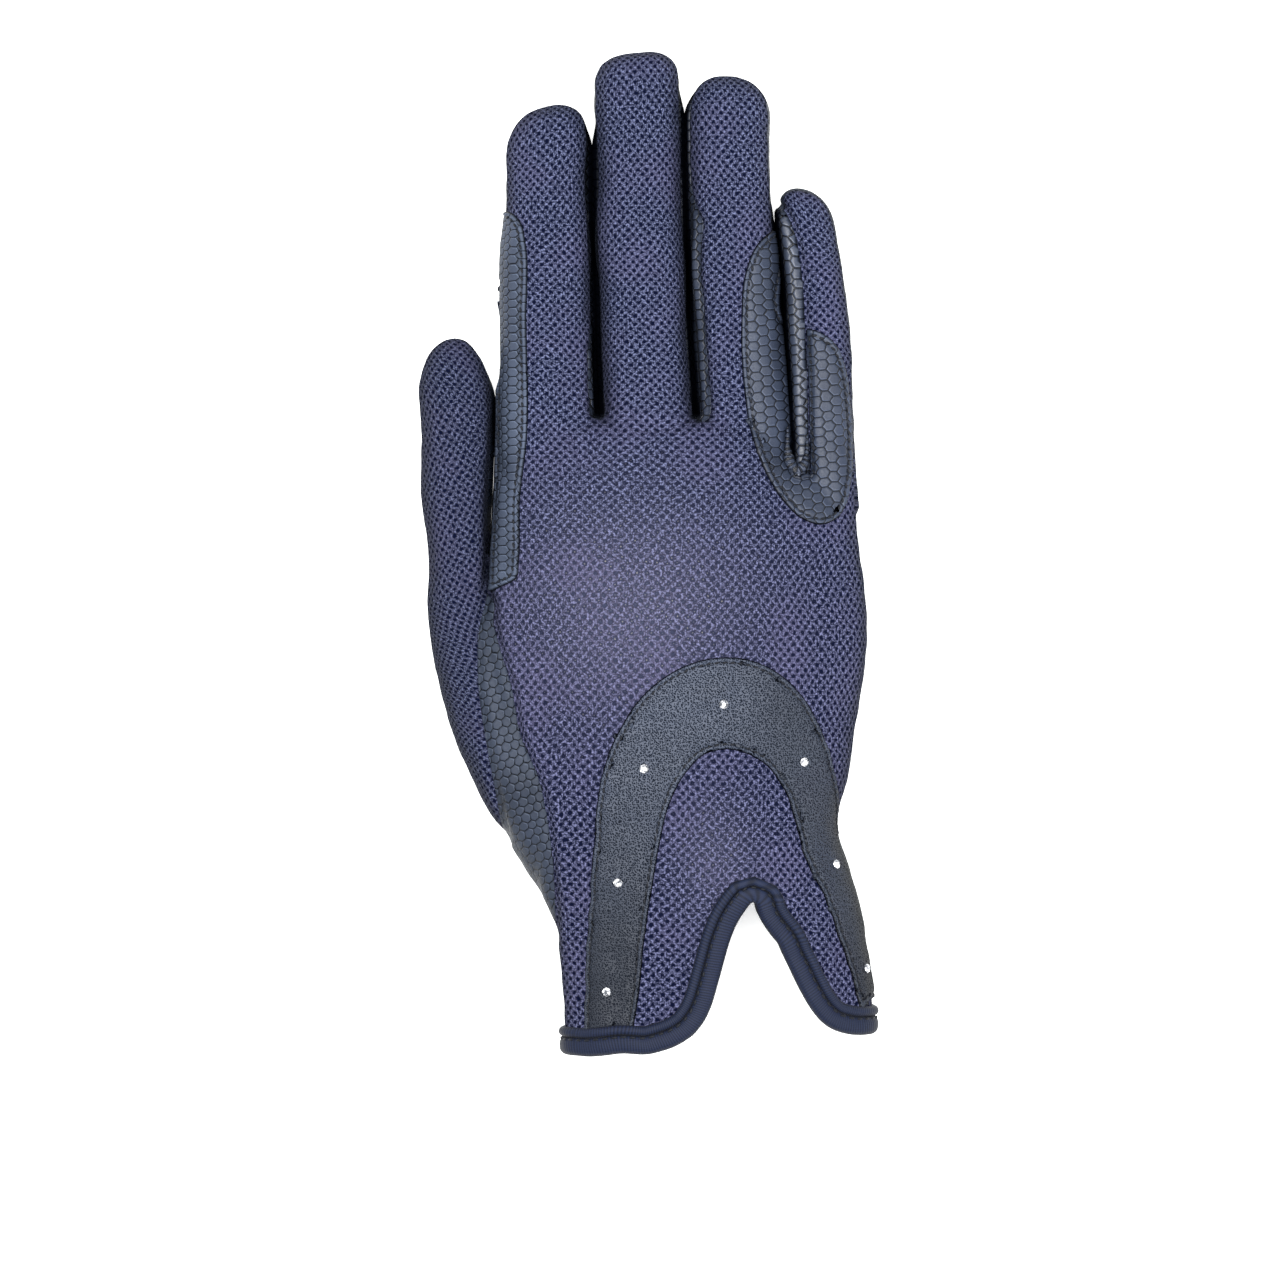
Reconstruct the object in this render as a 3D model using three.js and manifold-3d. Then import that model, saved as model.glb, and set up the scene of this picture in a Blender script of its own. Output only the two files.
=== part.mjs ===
// A right-hand riding glove that lies on its palm, filled as if a hand were in it.
// The back is one panel of open mesh cloth, the palm is embossed leather, and narrow
// gussets of the same leather join them between the fingers. Sewn over the back are
// a side patch on the index finger, a saddle patch round the fork of the ring and little
// fingers, and a horseshoe of smooth leather with seven stones at the wrist. The cuff is
// notched, and its edge has a folded tape with a rolled piping above it.
// Millimetres, +Z up, fingers along +Y, thumb towards -X.
import * as THREE from 'three';
import { mergeVertices } from 'three/addons/utils/BufferGeometryUtils.js';
import Module from 'manifold-3d';

const wasm = await Module();
wasm.setup();

// Driving dimensions of the hand part, from the cuff's edge to the finger forks.
const handLength = 142;
const handWidth = 86;
const handThickness = 29;
const handSquareness = 2.35; // 2 is an ellipse, more is boxier
const littleForkDrop = 10.4; // how far the little finger's fork lies below the other two

// Cloth and leather.
const wall = 1.2;
const seamGap = 0.3; // between pieces that are sewn together
const floorFlat = 0.7; // how far the fabric flattens where it rests
const patchThickness = 0.9;
const horseshoeThickness = 0.8;

// The edge of the cuff.
const tapeThickness = 1.0;
const tapeWidth = 4.2; // from the free edge to the stitches
const pipingWidth = 2.4;
const pipingHeight = 1.9;
const notchDepth = 31.5; // from the cuff's edge to the point of the notch
const notchWidth = 50; // across the notch, foot to foot
const notchAside = 16.5; // the notch's point from the middle of the hand
const rightFootRaise = 5.2; // the cuff's right foot ends above its left foot

// The stones.
const stoneDiameter = 2.1;
const stoneHeight = 1.0;
const stoneFacets = 8;

// How finely round things are cut.
const handSides = 24;
const fingerSides = 12;
const tipRings = 3;

// One row for each finger. aside is the middle of its root from the hand's middle, lean is
// in degrees towards the little finger, length is from the hand's front line to the tip.
const fingers = {
  index: { aside: -30.2, lean: 0.1, bow: 0, length: 72, rootWidth: 21.6, tipWidth: 18.4, thickness: 18.6, tipDepth: 10.5 },
  middle: { aside: -6.6, lean: -2.0, bow: -0.6, length: 84.2, rootWidth: 19.8, tipWidth: 19.2, thickness: 18.8, tipDepth: 8.5 },
  ring: { aside: 15.6, lean: -2.9, bow: -0.9, length: 79.4, rootWidth: 20.2, tipWidth: 18.2, thickness: 18.2, tipDepth: 9.5 },
  little: { aside: 33.4, lean: -4.4, bow: 0.9, length: 52.9, rootWidth: 14.6, tipWidth: 13.2, thickness: 16.6, tipDepth: 9 },
};
const fingerSquareness = 2.2;
const fingerRoot = 22; // how far a finger's tube runs on inside the hand

// at is the share of the tube from the front line to the start of the tip; swell is the share
// of the finger's width there; lift is the share of its thickness that it stands off the table.
const fingerRows = [
  { at: 0, swell: 1.0, lift: 0 },
  { at: 0.26, swell: 0.985, lift: 0.02 },
  { at: 0.52, swell: 1.02, lift: 0.03 },
  { at: 0.77, swell: 0.975, lift: 0.01 },
  { at: 1, swell: 1.0, lift: 0 },
];

// Sections of the hand. at is a share of handLength, left and right are shares of half of
// handWidth, thick and lift are shares of handThickness.
const handRows = [
  { at: -0.08, left: -0.595, right: 1.065, thick: 0.78, lift: 0.13 },
  { at: 0.17, left: -0.655, right: 0.985, thick: 0.81, lift: 0.125 },
  { at: 0.26, left: -0.75, right: 0.91, thick: 0.86, lift: 0.11 },
  { at: 0.34, left: -0.87, right: 0.845, thick: 0.93, lift: 0.06 },
  { at: 0.418, left: -0.955, right: 0.905, thick: 0.99, lift: 0.01 },
  { at: 0.489, left: -1.0, right: 0.94, thick: 1.02, lift: 0 },
  { at: 0.559, left: -1.03, right: 0.985, thick: 1.02, lift: 0 },
  { at: 0.664, left: -1.035, right: 1.0, thick: 1.0, lift: 0 },
  { at: 0.75, left: -1.0, right: 1.0, thick: 0.97, lift: 0 },
  { at: 0.844, left: -0.975, right: 0.965, thick: 0.91, lift: 0 },
  { at: 0.916, left: -0.95, right: 0.944, thick: 0.83, lift: 0 },
  { at: 0.962, left: -0.94, right: 0.93, thick: 0.72, lift: 0.02 },
  { at: 0.988, left: -0.93, right: 0.92, thick: 0.56, lift: 0.08 },
  { at: 1.0, left: -0.92, right: 0.91, thick: 0.34, lift: 0.17 },
];

// Sections of the thumb. at is a share of thumbLength above thumbRootAt, aside a share of
// half of handWidth, wide a share of thumbWidth and thick a share of thumbThickness.
const thumbRootAt = 44;
const thumbLength = 116;
const thumbWidth = 16.8;
const thumbThickness = 18.5;
const thumbTipDepth = 12;
const thumbRows = [
  { at: 0, aside: -0.645, wide: 1.18, thick: 1.25 },
  { at: 0.1, aside: -0.755, wide: 1.42, thick: 1.3 },
  { at: 0.19, aside: -0.86, wide: 1.48, thick: 1.28 },
  { at: 0.3, aside: -0.975, wide: 1.42, thick: 1.2 },
  { at: 0.385, aside: -1.07, wide: 1.25, thick: 1.1 },
  { at: 0.47, aside: -1.15, wide: 0.95, thick: 0.98 },
  { at: 0.56, aside: -1.18, wide: 0.83, thick: 0.95 },
  { at: 0.7, aside: -1.205, wide: 0.94, thick: 1.0 },
  { at: 0.81, aside: -1.185, wide: 0.99, thick: 0.98 },
  { at: 0.9, aside: -1.18, wide: 0.95, thick: 0.92 },
];

const halfHand = handWidth / 2;
const up = new THREE.Vector3(0, 0, 1);

function smooth(t) {
  const s = Math.min(1, Math.max(0, t));
  return s * s * (3 - 2 * s);
}

// A point of a rounded section, a share of its half width and half height.
function rounded(angle, squareness) {
  const power = 2 / squareness;
  const c = Math.cos(angle);
  const s = Math.sin(angle);
  return [Math.sign(c) * Math.abs(c) ** power, Math.sign(s) * Math.abs(s) ** power];
}

// A closed manifold-3d solid from a three.js geometry.
function solidOf(geometry) {
  const bare = geometry.clone();
  bare.deleteAttribute('normal');
  bare.deleteAttribute('uv');
  const merged = mergeVertices(bare, 1e-4);
  const positions = new Float32Array(merged.attributes.position.array);
  const corners = new Uint32Array(merged.index.array);
  const made = new wasm.Manifold(new wasm.Mesh({ numProp: 3, vertProperties: positions, triVerts: corners }));
  if (made.volume() > 0) return made;
  for (let i = 0; i < corners.length; i += 3) [corners[i], corners[i + 1]] = [corners[i + 1], corners[i]];
  return new wasm.Manifold(new wasm.Mesh({ numProp: 3, vertProperties: positions, triVerts: corners }));
}

// A skin through rings of points, closed at both ends.
function loft(rings) {
  const sides = rings[0].length;
  const positions = rings.flat().flatMap((p) => [p.x, p.y, p.z]);
  const index = [];
  for (let r = 0; r + 1 < rings.length; r += 1) {
    for (let i = 0; i < sides; i += 1) {
      const next = (i + 1) % sides;
      const a = r * sides + i;
      const b = r * sides + next;
      index.push(a, b, b + sides, a, b + sides, a + sides);
    }
  }
  for (const [ring, first] of [[rings[0], 0], [rings.at(-1), (rings.length - 1) * sides]]) {
    const centre = ring.reduce((sum, p) => sum.add(p), new THREE.Vector3()).divideScalar(sides);
    const hub = positions.length / 3;
    positions.push(centre.x, centre.y, centre.z);
    for (let i = 0; i < sides; i += 1) {
      const next = (i + 1) % sides;
      if (first === 0) index.push(hub, next, i);
      else index.push(hub, first + i, first + next);
    }
  }
  const geometry = new THREE.BufferGeometry();
  geometry.setAttribute('position', new THREE.Float32BufferAttribute(positions, 3));
  geometry.setIndex(index);
  return solidOf(geometry);
}

// An upright prism over an outline of [x, y] points, from one height to another.
function prism(outline, bottom, top) {
  const shape = new THREE.Shape(outline.map(([x, y]) => new THREE.Vector2(x, y)));
  const geometry = new THREE.ExtrudeGeometry(shape, { depth: top - bottom, bevelEnabled: false });
  return solidOf(geometry.translate(0, 0, bottom));
}

// Everything above a height that runs straight from one value at the cuff to another at the
// fingertips, as a solid wedge.
function above(cuffHeight, tipHeight) {
  const reach = 4 * handLength;
  const slope = (tipHeight - cuffHeight) / (handLength + fingers.middle.length);
  const shape = new THREE.Shape([
    new THREE.Vector2(-reach, cuffHeight - slope * reach),
    new THREE.Vector2(reach, cuffHeight + slope * reach),
    new THREE.Vector2(reach, reach),
    new THREE.Vector2(-reach, reach),
  ]);
  const geometry = new THREE.ExtrudeGeometry(shape, { depth: 2 * reach, bevelEnabled: false });
  geometry.rotateX(Math.PI / 2).rotateZ(Math.PI / 2).translate(-reach, 0, 0);
  return solidOf(geometry);
}

// The largest body of a solid, without the crumbs that a cut can leave.
function mainBody(solid) {
  return solid.decompose().sort((a, b) => b.volume() - a.volume())[0];
}

// Where the front line of the hand lies at a place across it: straight over the first three
// fingers, and lower at the little finger.
function frontDrop(x) {
  const from = fingers.ring.aside;
  const to = fingers.little.aside - fingers.little.rootWidth / 2;
  return -littleForkDrop * smooth((x - from) / (to - from));
}

function handBody(grow) {
  return loft(handRows.map((row) => {
    const left = row.left * halfHand - grow;
    const right = row.right * halfHand + grow;
    const halfHigh = (row.thick * handThickness) / 2 + grow;
    const middle = (row.thick / 2 + row.lift) * handThickness - floorFlat;
    const frontShare = smooth((row.at - 0.6) / 0.4);
    return Array.from({ length: handSides }, (unused, i) => {
      const [c, s] = rounded((2 * Math.PI * i) / handSides, handSquareness);
      const x = (left + right) / 2 + ((right - left) / 2) * c;
      const y = row.at * handLength + frontShare * (frontDrop(x) + (row.at > 0.95 ? grow : 0));
      return new THREE.Vector3(x, y, middle + halfHigh * s);
    });
  }));
}

// Rings along a line of stations, then a rounded tip beyond the last one.
function digitBody(stations, tipDepth, grow) {
  const last = stations.at(-1);
  const ahead = last.ahead;
  const all = [...stations];
  for (let i = 1; i <= tipRings; i += 1) {
    const angle = (i / (tipRings + 0.35)) * (Math.PI / 2);
    const share = Math.cos(angle) ** 0.85;
    all.push({
      ...last,
      centre: last.centre.clone().addScaledVector(ahead, (tipDepth + grow) * Math.sin(angle)),
      share,
    });
  }
  return loft(all.map((station) => {
    const aside = new THREE.Vector3().crossVectors(station.ahead, up).normalize();
    const share = station.share ?? 1;
    return Array.from({ length: fingerSides }, (unused, i) => {
      const [c, s] = rounded((2 * Math.PI * i) / fingerSides, fingerSquareness);
      return station.centre.clone()
        .addScaledVector(aside, (station.halfWide + grow) * share * c)
        .addScaledVector(up, (station.halfHigh + grow) * share * s);
    });
  }));
}

function fingerStations(finger) {
  const lean = THREE.MathUtils.degToRad(finger.lean);
  const ahead = new THREE.Vector3(Math.sin(lean), Math.cos(lean), 0);
  const across = new THREE.Vector3(ahead.y, -ahead.x, 0);
  const root = new THREE.Vector3(finger.aside, handLength, 0);
  const shaft = finger.length - finger.tipDepth;
  const rows = [{ at: -fingerRoot / shaft, swell: 0.88, lift: 0.09 }, ...fingerRows];
  return rows.map((row) => {
    const share = Math.max(0, row.at);
    const width = THREE.MathUtils.lerp(finger.rootWidth, finger.tipWidth, share) * row.swell;
    const thickness = finger.thickness * THREE.MathUtils.lerp(1.04, 0.94, share);
    const centre = root.clone()
      .addScaledVector(ahead, row.at * shaft)
      .addScaledVector(across, finger.bow * Math.sin(Math.PI * share));
    centre.z = thickness / 2 + row.lift * finger.thickness - floorFlat;
    return { centre, ahead, halfWide: width / 2, halfHigh: thickness / 2 };
  });
}

function thumbStations() {
  const centres = thumbRows.map((row) => new THREE.Vector3(
    row.aside * halfHand,
    thumbRootAt + row.at * thumbLength,
    (row.thick * thumbThickness) / 2 - floorFlat,
  ));
  return thumbRows.map((row, i) => {
    const before = centres[Math.max(0, i - 1)];
    const after = centres[Math.min(centres.length - 1, i + 1)];
    const ahead = after.clone().sub(before).setZ(0).normalize();
    return {
      centre: centres[i],
      ahead,
      halfWide: (row.wide * thumbWidth) / 2,
      halfHigh: (row.thick * thumbThickness) / 2,
    };
  });
}

// The whole glove as one solid, grown by a distance and stopped at a floor.
function gloveBody(grow, floor) {
  let body = handBody(grow).add(digitBody(thumbStations(), thumbTipDepth, grow));
  for (const finger of Object.values(fingers)) {
    body = body.add(digitBody(fingerStations(finger), finger.tipDepth, grow));
  }
  return body.intersect(above(floor, floor));
}

// The line of the cuff's edge from left to right. along is a share of notchWidth from the
// notch's point, deep a share of notchDepth.
const notchRows = [
  { along: -0.5, deep: 0.0 },
  { along: -0.36, deep: 0.05 },
  { along: -0.26, deep: 0.2 },
  { along: -0.2, deep: 0.44 },
  { along: -0.12, deep: 0.76 },
  { along: 0, deep: 1 },
  { along: 0.12, deep: 0.72 },
  { along: 0.26, deep: 0.34 },
  { along: 0.38, deep: 0.1 },
  { along: 0.5, deep: 0.0 },
];

// The edge where the cloth ends, raised square to itself by a distance.
function cuffLine(rise) {
  const foot = tapeThickness - tapeWidth;
  const points = notchRows.map((row) => new THREE.Vector2(
    notchAside + row.along * notchWidth,
    foot + row.deep * notchDepth + rightFootRaise * smooth(row.along + 0.5),
  ));
  const line = [
    new THREE.Vector2(-2 * handWidth, points[0].y),
    ...points,
    new THREE.Vector2(2 * handWidth, points.at(-1).y),
  ];
  return line.map((point, i) => {
    const before = line[Math.max(0, i - 1)];
    const after = line[Math.min(line.length - 1, i + 1)];
    const along = after.clone().sub(before).normalize();
    return [point.x - along.y * rise, point.y + along.x * rise];
  });
}

// Everything on the finger side of the cuff's edge, raised by a distance.
function beyondCuff(rise) {
  const line = cuffLine(rise);
  const far = 3 * handLength;
  return prism([...line, [line.at(-1)[0], far], [line[0][0], far]], -handThickness, 3 * handThickness);
}

// Heights of the seams, as shares of handThickness at the cuff and of the middle finger's
// thickness at its tip.
const sideSeam = { cuff: 0.46, tip: 0.46 };
const gussetTop = { cuff: 0.5, tip: 0.65 };
const gussetFoot = { cuff: 0.21, tip: 0.27 };

function aboveSeam(seam, rise) {
  return above(seam.cuff * handThickness + rise, seam.tip * fingers.middle.thickness + rise);
}

// The edge of the leather along the thumb side of the back, and the seam round the root of
// the thumb. aside is a share of half of handWidth, at a share of handLength.
const leatherEdgeRows = [
  { aside: -0.9, at: -0.12 },
  { aside: -0.66, at: 0.09 },
  { aside: -0.655, at: 0.235 },
  { aside: -0.69, at: 0.348 },
  { aside: -0.74, at: 0.418 },
  { aside: -0.837, at: 0.489 },
  { aside: -0.88, at: 0.559 },
  { aside: -0.949, at: 0.63 },
  { aside: -0.982, at: 0.664 },
  { aside: -1.0, at: 0.71 },
  { aside: -1.3, at: 0.76 },
];
const thumbSeamRows = [
  { aside: -1.0, at: 0.704 },
  { aside: -1.06, at: 0.664 },
  { aside: -1.08, at: 0.6 },
  { aside: -1.07, at: 0.559 },
  { aside: -1.02, at: 0.489 },
  { aside: -0.94, at: 0.418 },
  { aside: -0.895, at: 0.348 },
  { aside: -0.79, at: 0.287 },
  { aside: -0.7, at: 0.22 },
];

function handPoints(rows, aside = 0) {
  return rows.map((row) => [row.aside * halfHand + aside, row.at * handLength]);
}

// Everything on the thumb side of the leather's edge, moved aside by a distance.
function thumbSideOfBack(aside) {
  const line = handPoints(leatherEdgeRows, aside);
  const far = 3 * handLength;
  return prism(
    [...line, [line.at(-1)[0], far], [-far, far], [-far, line[0][1] - handLength], [line[0][0], line[0][1] - handLength]],
    -handThickness,
    3 * handThickness,
  );
}

// The thumb's share of the glove: all that lies beyond its seam below the fork, and the
// thumb's own tube above it.
function thumbRegion(grow) {
  const line = handPoints(thumbSeamRows, grow);
  const fork = thumbSeamRows[0].at * handLength;
  const below = prism(
    [[-2 * handWidth, fork], ...line, [-2 * handWidth, line.at(-1)[1]]],
    -handThickness,
    3 * handThickness,
  );
  const tube = digitBody(thumbStations(), thumbTipDepth, grow + 0.05);
  const beyond = prism(
    [[-2 * handWidth, fork], [0, fork], [0, 3 * handLength], [-2 * handWidth, 3 * handLength]],
    -handThickness,
    3 * handThickness,
  );
  return below.add(tube.intersect(beyond));
}

// An outline moved outwards by a distance, with its corners kept sharp.
function grown(outline, distance) {
  const points = outline.map(([x, y]) => new THREE.Vector2(x, y));
  const outward = THREE.ShapeUtils.area(points) > 0 ? 1 : -1;
  return points.map((point, i) => {
    const before = point.clone().sub(points.at(i - 1)).normalize();
    const after = points[(i + 1) % points.length].clone().sub(point).normalize();
    const square = new THREE.Vector2(before.y + after.y, -before.x - after.x).normalize();
    const slant = Math.max(0.35, square.dot(new THREE.Vector2(before.y, -before.x)));
    return [point.x + (outward * square.x * distance) / slant, point.y + (outward * square.y * distance) / slant];
  });
}

// The gap between two neighbouring fingers, from the middle of one to the middle of the
// other, as an upright block.
function gussetRegion(left, right, grow) {
  const seatDepth = 7;
  const tipShare = 0.35;
  const line = (finger) => {
    const stations = fingerStations(finger);
    const tip = stations.at(-1).centre.clone();
    tip.addScaledVector(stations[0].ahead, finger.tipDepth * tipShare);
    const root = stations[1].centre.clone();
    root.y += Math.min(frontDrop(finger.aside), 0) - seatDepth;
    return { root, tip };
  };
  const a = line(left);
  const b = line(right);
  const between = (a.tip.x + left.tipWidth / 2 + b.tip.x - right.tipWidth / 2) / 2;
  const rootHeight = Math.min(a.root.y, b.root.y);
  const outline = [
    [a.root.x, rootHeight],
    [b.root.x, rootHeight],
    [b.tip.x, b.tip.y],
    [between, b.tip.y],
    [between, a.tip.y],
    [a.tip.x, a.tip.y],
  ];
  return prism(grown(outline, grow), -handThickness, 3 * handThickness)
    .intersect(aboveSeam(gussetFoot, -grow))
    .subtract(aboveSeam(gussetTop, grow));
}

// The little finger's side of its gusset is rolled over onto the back. at is a share of the
// finger's length above the hand's front line, aside a share of its width from its middle.
const rolledSeamRows = [
  { at: -0.16, aside: -0.26 },
  { at: 0.2, aside: -0.2 },
  { at: 0.5, aside: -0.17 },
  { at: 0.75, aside: -0.24 },
  { at: 0.88, aside: -0.4 },
];

function rolledGusset(grow) {
  const stations = fingerStations(fingers.little);
  const { ahead } = stations[0];
  const across = new THREE.Vector3(ahead.y, -ahead.x, 0);
  const root = new THREE.Vector3(fingers.little.aside, handLength, 0);
  const place = (row, aside) => {
    const point = root.clone()
      .addScaledVector(ahead, row.at * fingers.little.length)
      .addScaledVector(across, aside * fingers.little.rootWidth);
    return [point.x, point.y];
  };
  const seam = rolledSeamRows.map((row) => place(row, row.aside));
  const far = [place(rolledSeamRows.at(-1), -0.62), place(rolledSeamRows[0], -0.62)];
  return prism(grown([...seam, ...far], grow), -handThickness, 3 * handThickness)
    .intersect(aboveSeam(gussetFoot, -grow));
}

// The four fingers and the hand, without the thumb.
function handAndFingers(grow) {
  let body = handBody(grow);
  for (const finger of Object.values(fingers)) {
    body = body.add(digitBody(fingerStations(finger), finger.tipDepth, grow));
  }
  return body.intersect(above(0, 0));
}

// A skin that lies on the outside of the hand, clear of it by the seam's gap.
function overlay(thickness) {
  return handAndFingers(seamGap + thickness).subtract(handAndFingers(seamGap));
}

// Outlines of the leather patches, hand-drawn. aside is a share of half of handWidth, at is a
// share of handLength.
const indexPatchRows = [
  { aside: -1.4, at: 1.34 },
  { aside: -0.944, at: 1.337 },
  { aside: -0.886, at: 1.332 },
  { aside: -0.833, at: 1.313 },
  { aside: -0.809, at: 1.28 },
  { aside: -0.805, at: 0.963 },
  { aside: -0.837, at: 0.867 },
  { aside: -0.842, at: 0.768 },
  { aside: -0.853, at: 0.74 },
  { aside: -0.94, at: 0.725 },
  { aside: -1.4, at: 0.69 },
];
const saddlePatchRows = [
  { aside: 0.56, at: 1.315 },
  { aside: 0.495, at: 1.301 },
  { aside: 0.426, at: 1.28 },
  { aside: 0.36, at: 1.231 },
  { aside: 0.34, at: 1.158 },
  { aside: 0.36, at: 1.029 },
  { aside: 0.398, at: 0.963 },
  { aside: 0.467, at: 0.907 },
  { aside: 0.549, at: 0.867 },
  { aside: 0.656, at: 0.835 },
  { aside: 0.763, at: 0.825 },
  { aside: 0.842, at: 0.835 },
  { aside: 0.895, at: 0.858 },
  { aside: 0.923, at: 0.899 },
  { aside: 0.916, at: 1.029 },
  { aside: 0.895, at: 1.077 },
  { aside: 0.842, at: 1.118 },
  { aside: 0.763, at: 1.137 },
  { aside: 0.688, at: 1.145 },
];
const forkLoopRows = [
  { aside: 0.585, at: 0.972 },
  { aside: 0.588, at: 0.94 },
  { aside: 0.607, at: 0.922 },
  { aside: 0.64, at: 0.914 },
  { aside: 0.672, at: 0.922 },
  { aside: 0.69, at: 0.942 },
];
const forkLoopWidth = 2.4;
const forkLoopHeight = 2.2;

// The horseshoe's edges, from its left foot over the arch to its right foot.
const horseshoeOuterRows = [
  { aside: -0.5, at: -0.1 },
  { aside: -0.5, at: 0.035 },
  { aside: -0.479, at: 0.149 },
  { aside: -0.447, at: 0.292 },
  { aside: -0.42, at: 0.387 },
  { aside: -0.361, at: 0.463 },
  { aside: -0.265, at: 0.52 },
  { aside: -0.11, at: 0.572 },
  { aside: 0.051, at: 0.6 },
  { aside: 0.238, at: 0.612 },
  { aside: 0.361, at: 0.609 },
  { aside: 0.522, at: 0.588 },
  { aside: 0.645, at: 0.555 },
  { aside: 0.741, at: 0.51 },
  { aside: 0.81, at: 0.463 },
  { aside: 0.9, at: 0.407 },
  { aside: 1.3, at: 0.35 },
  { aside: 1.5, at: -0.1 },
];
const horseshoeInnerRows = [
  { aside: 1.03, at: -0.1 },
  { aside: 0.949, at: 0.06 },
  { aside: 0.896, at: 0.126 },
  { aside: 0.832, at: 0.178 },
  { aside: 0.757, at: 0.235 },
  { aside: 0.677, at: 0.292 },
  { aside: 0.612, at: 0.349 },
  { aside: 0.551, at: 0.402 },
  { aside: 0.457, at: 0.441 },
  { aside: 0.361, at: 0.458 },
  { aside: 0.254, at: 0.465 },
  { aside: 0.142, at: 0.457 },
  { aside: 0.035, at: 0.425 },
  { aside: -0.045, at: 0.377 },
  { aside: -0.094, at: 0.321 },
  { aside: -0.147, at: 0.215 },
  { aside: -0.195, at: 0.102 },
  { aside: -0.227, at: 0.036 },
  { aside: -0.24, at: -0.1 },
];

// The places of the stones along the horseshoe, from its left foot to its right foot.
const stoneRows = [
  { aside: -0.377, at: 0.0745 },
  { aside: -0.318, at: 0.251 },
  { aside: -0.179, at: 0.434 },
  { aside: 0.241, at: 0.537 },
  { aside: 0.669, at: 0.444 },
  { aside: 0.843, at: 0.279 },
  { aside: 1.008, at: 0.11 },
];

const group = new THREE.Group();

function addNode(name, solid, material) {
  const mesh = mainBody(solid).getMesh();
  const geometry = new THREE.BufferGeometry();
  geometry.setAttribute('position', new THREE.BufferAttribute(mesh.vertProperties, 3));
  geometry.setIndex(new THREE.BufferAttribute(mesh.triVerts, 1));
  const node = new THREE.Mesh(geometry, material);
  node.name = name;
  group.add(node);
  return node;
}

const meshCloth = new THREE.MeshStandardMaterial({ color: 0x4f5580, roughness: 0.85, metalness: 0 });
const embossedLeather = new THREE.MeshStandardMaterial({ color: 0x3b4252, roughness: 0.55, metalness: 0 });
const smoothLeather = new THREE.MeshStandardMaterial({ color: 0x3a404d, roughness: 0.5, metalness: 0 });
const ribbedTape = new THREE.MeshStandardMaterial({ color: 0x353c50, roughness: 0.6, metalness: 0 });
const cutGlass = new THREE.MeshStandardMaterial({ color: 0xf2f5f8, roughness: 0.05, metalness: 0 });

// The cloth and leather of the glove itself: one hollow skin, cut apart along its seams.
const skin = gloveBody(0, 0).subtract(gloveBody(-wall, wall)).intersect(beyondCuff(0));
let handSkin = skin.subtract(thumbRegion(seamGap));
const gussets = [
  ['gusset_index_middle', (grow) => gussetRegion(fingers.index, fingers.middle, grow)],
  ['gusset_middle_ring', (grow) => gussetRegion(fingers.middle, fingers.ring, grow)],
  ['gusset_ring_little', (grow) => gussetRegion(fingers.ring, fingers.little, grow).add(rolledGusset(grow))],
];
for (const [name, region] of gussets) {
  addNode(name, handSkin.intersect(region(0)), embossedLeather);
  handSkin = handSkin.subtract(region(seamGap));
}
const backSide = aboveSeam(sideSeam, seamGap / 2).subtract(thumbSideOfBack(seamGap / 2));
const palmCut = aboveSeam(sideSeam, -seamGap / 2).subtract(thumbSideOfBack(-seamGap / 2));
addNode('back_panel', handSkin.intersect(backSide), meshCloth);
addNode('palm_panel', handSkin.subtract(palmCut), embossedLeather);
const thumbSkin = skin.intersect(thumbRegion(0));
const thumbSeam = 0.42 * thumbThickness;
addNode('thumb_back', thumbSkin.intersect(above(thumbSeam + seamGap / 2, thumbSeam + seamGap / 2)), meshCloth);
addNode('thumb_front', thumbSkin.subtract(above(thumbSeam - seamGap / 2, thumbSeam - seamGap / 2)), embossedLeather);

// The patches lie on the skin. Each is an upright block cut down to a thin overlay.
const everyHeight = [-handThickness, 3 * handThickness];
const forkLoopLine = handPoints(forkLoopRows).map(([x, y]) => new THREE.Vector2(x, y));

// A band of even width along a line, as an upright block.
function bandAlong(line, width) {
  const side = (sign) => line.map((point, i) => {
    const before = line[Math.max(0, i - 1)];
    const after = line[Math.min(line.length - 1, i + 1)];
    const along = after.clone().sub(before).normalize();
    return [point.x - (sign * along.y * width) / 2, point.y + (sign * along.x * width) / 2];
  });
  return prism([...side(1), ...side(-1).reverse()], ...everyHeight);
}

const patchLayer = overlay(patchThickness);
addNode(
  'index_patch',
  patchLayer
    .intersect(prism(handPoints(indexPatchRows), ...everyHeight))
    .intersect(aboveSeam({ cuff: sideSeam.cuff - 0.06, tip: sideSeam.tip - 0.06 }, 0))
    .subtract(thumbRegion(seamGap)),
  embossedLeather,
);
addNode(
  'saddle_patch',
  patchLayer
    .intersect(prism(handPoints(saddlePatchRows), ...everyHeight))
    .intersect(aboveSeam(gussetTop, seamGap))
    .subtract(rolledGusset(seamGap))
    .subtract(bandAlong(forkLoopLine, forkLoopWidth + 2 * seamGap)),
  embossedLeather,
);
addNode(
  'fork_loop',
  overlay(forkLoopHeight)
    .intersect(bandAlong(forkLoopLine, forkLoopWidth))
    .intersect(aboveSeam(gussetTop, seamGap)),
  embossedLeather,
);

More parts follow.
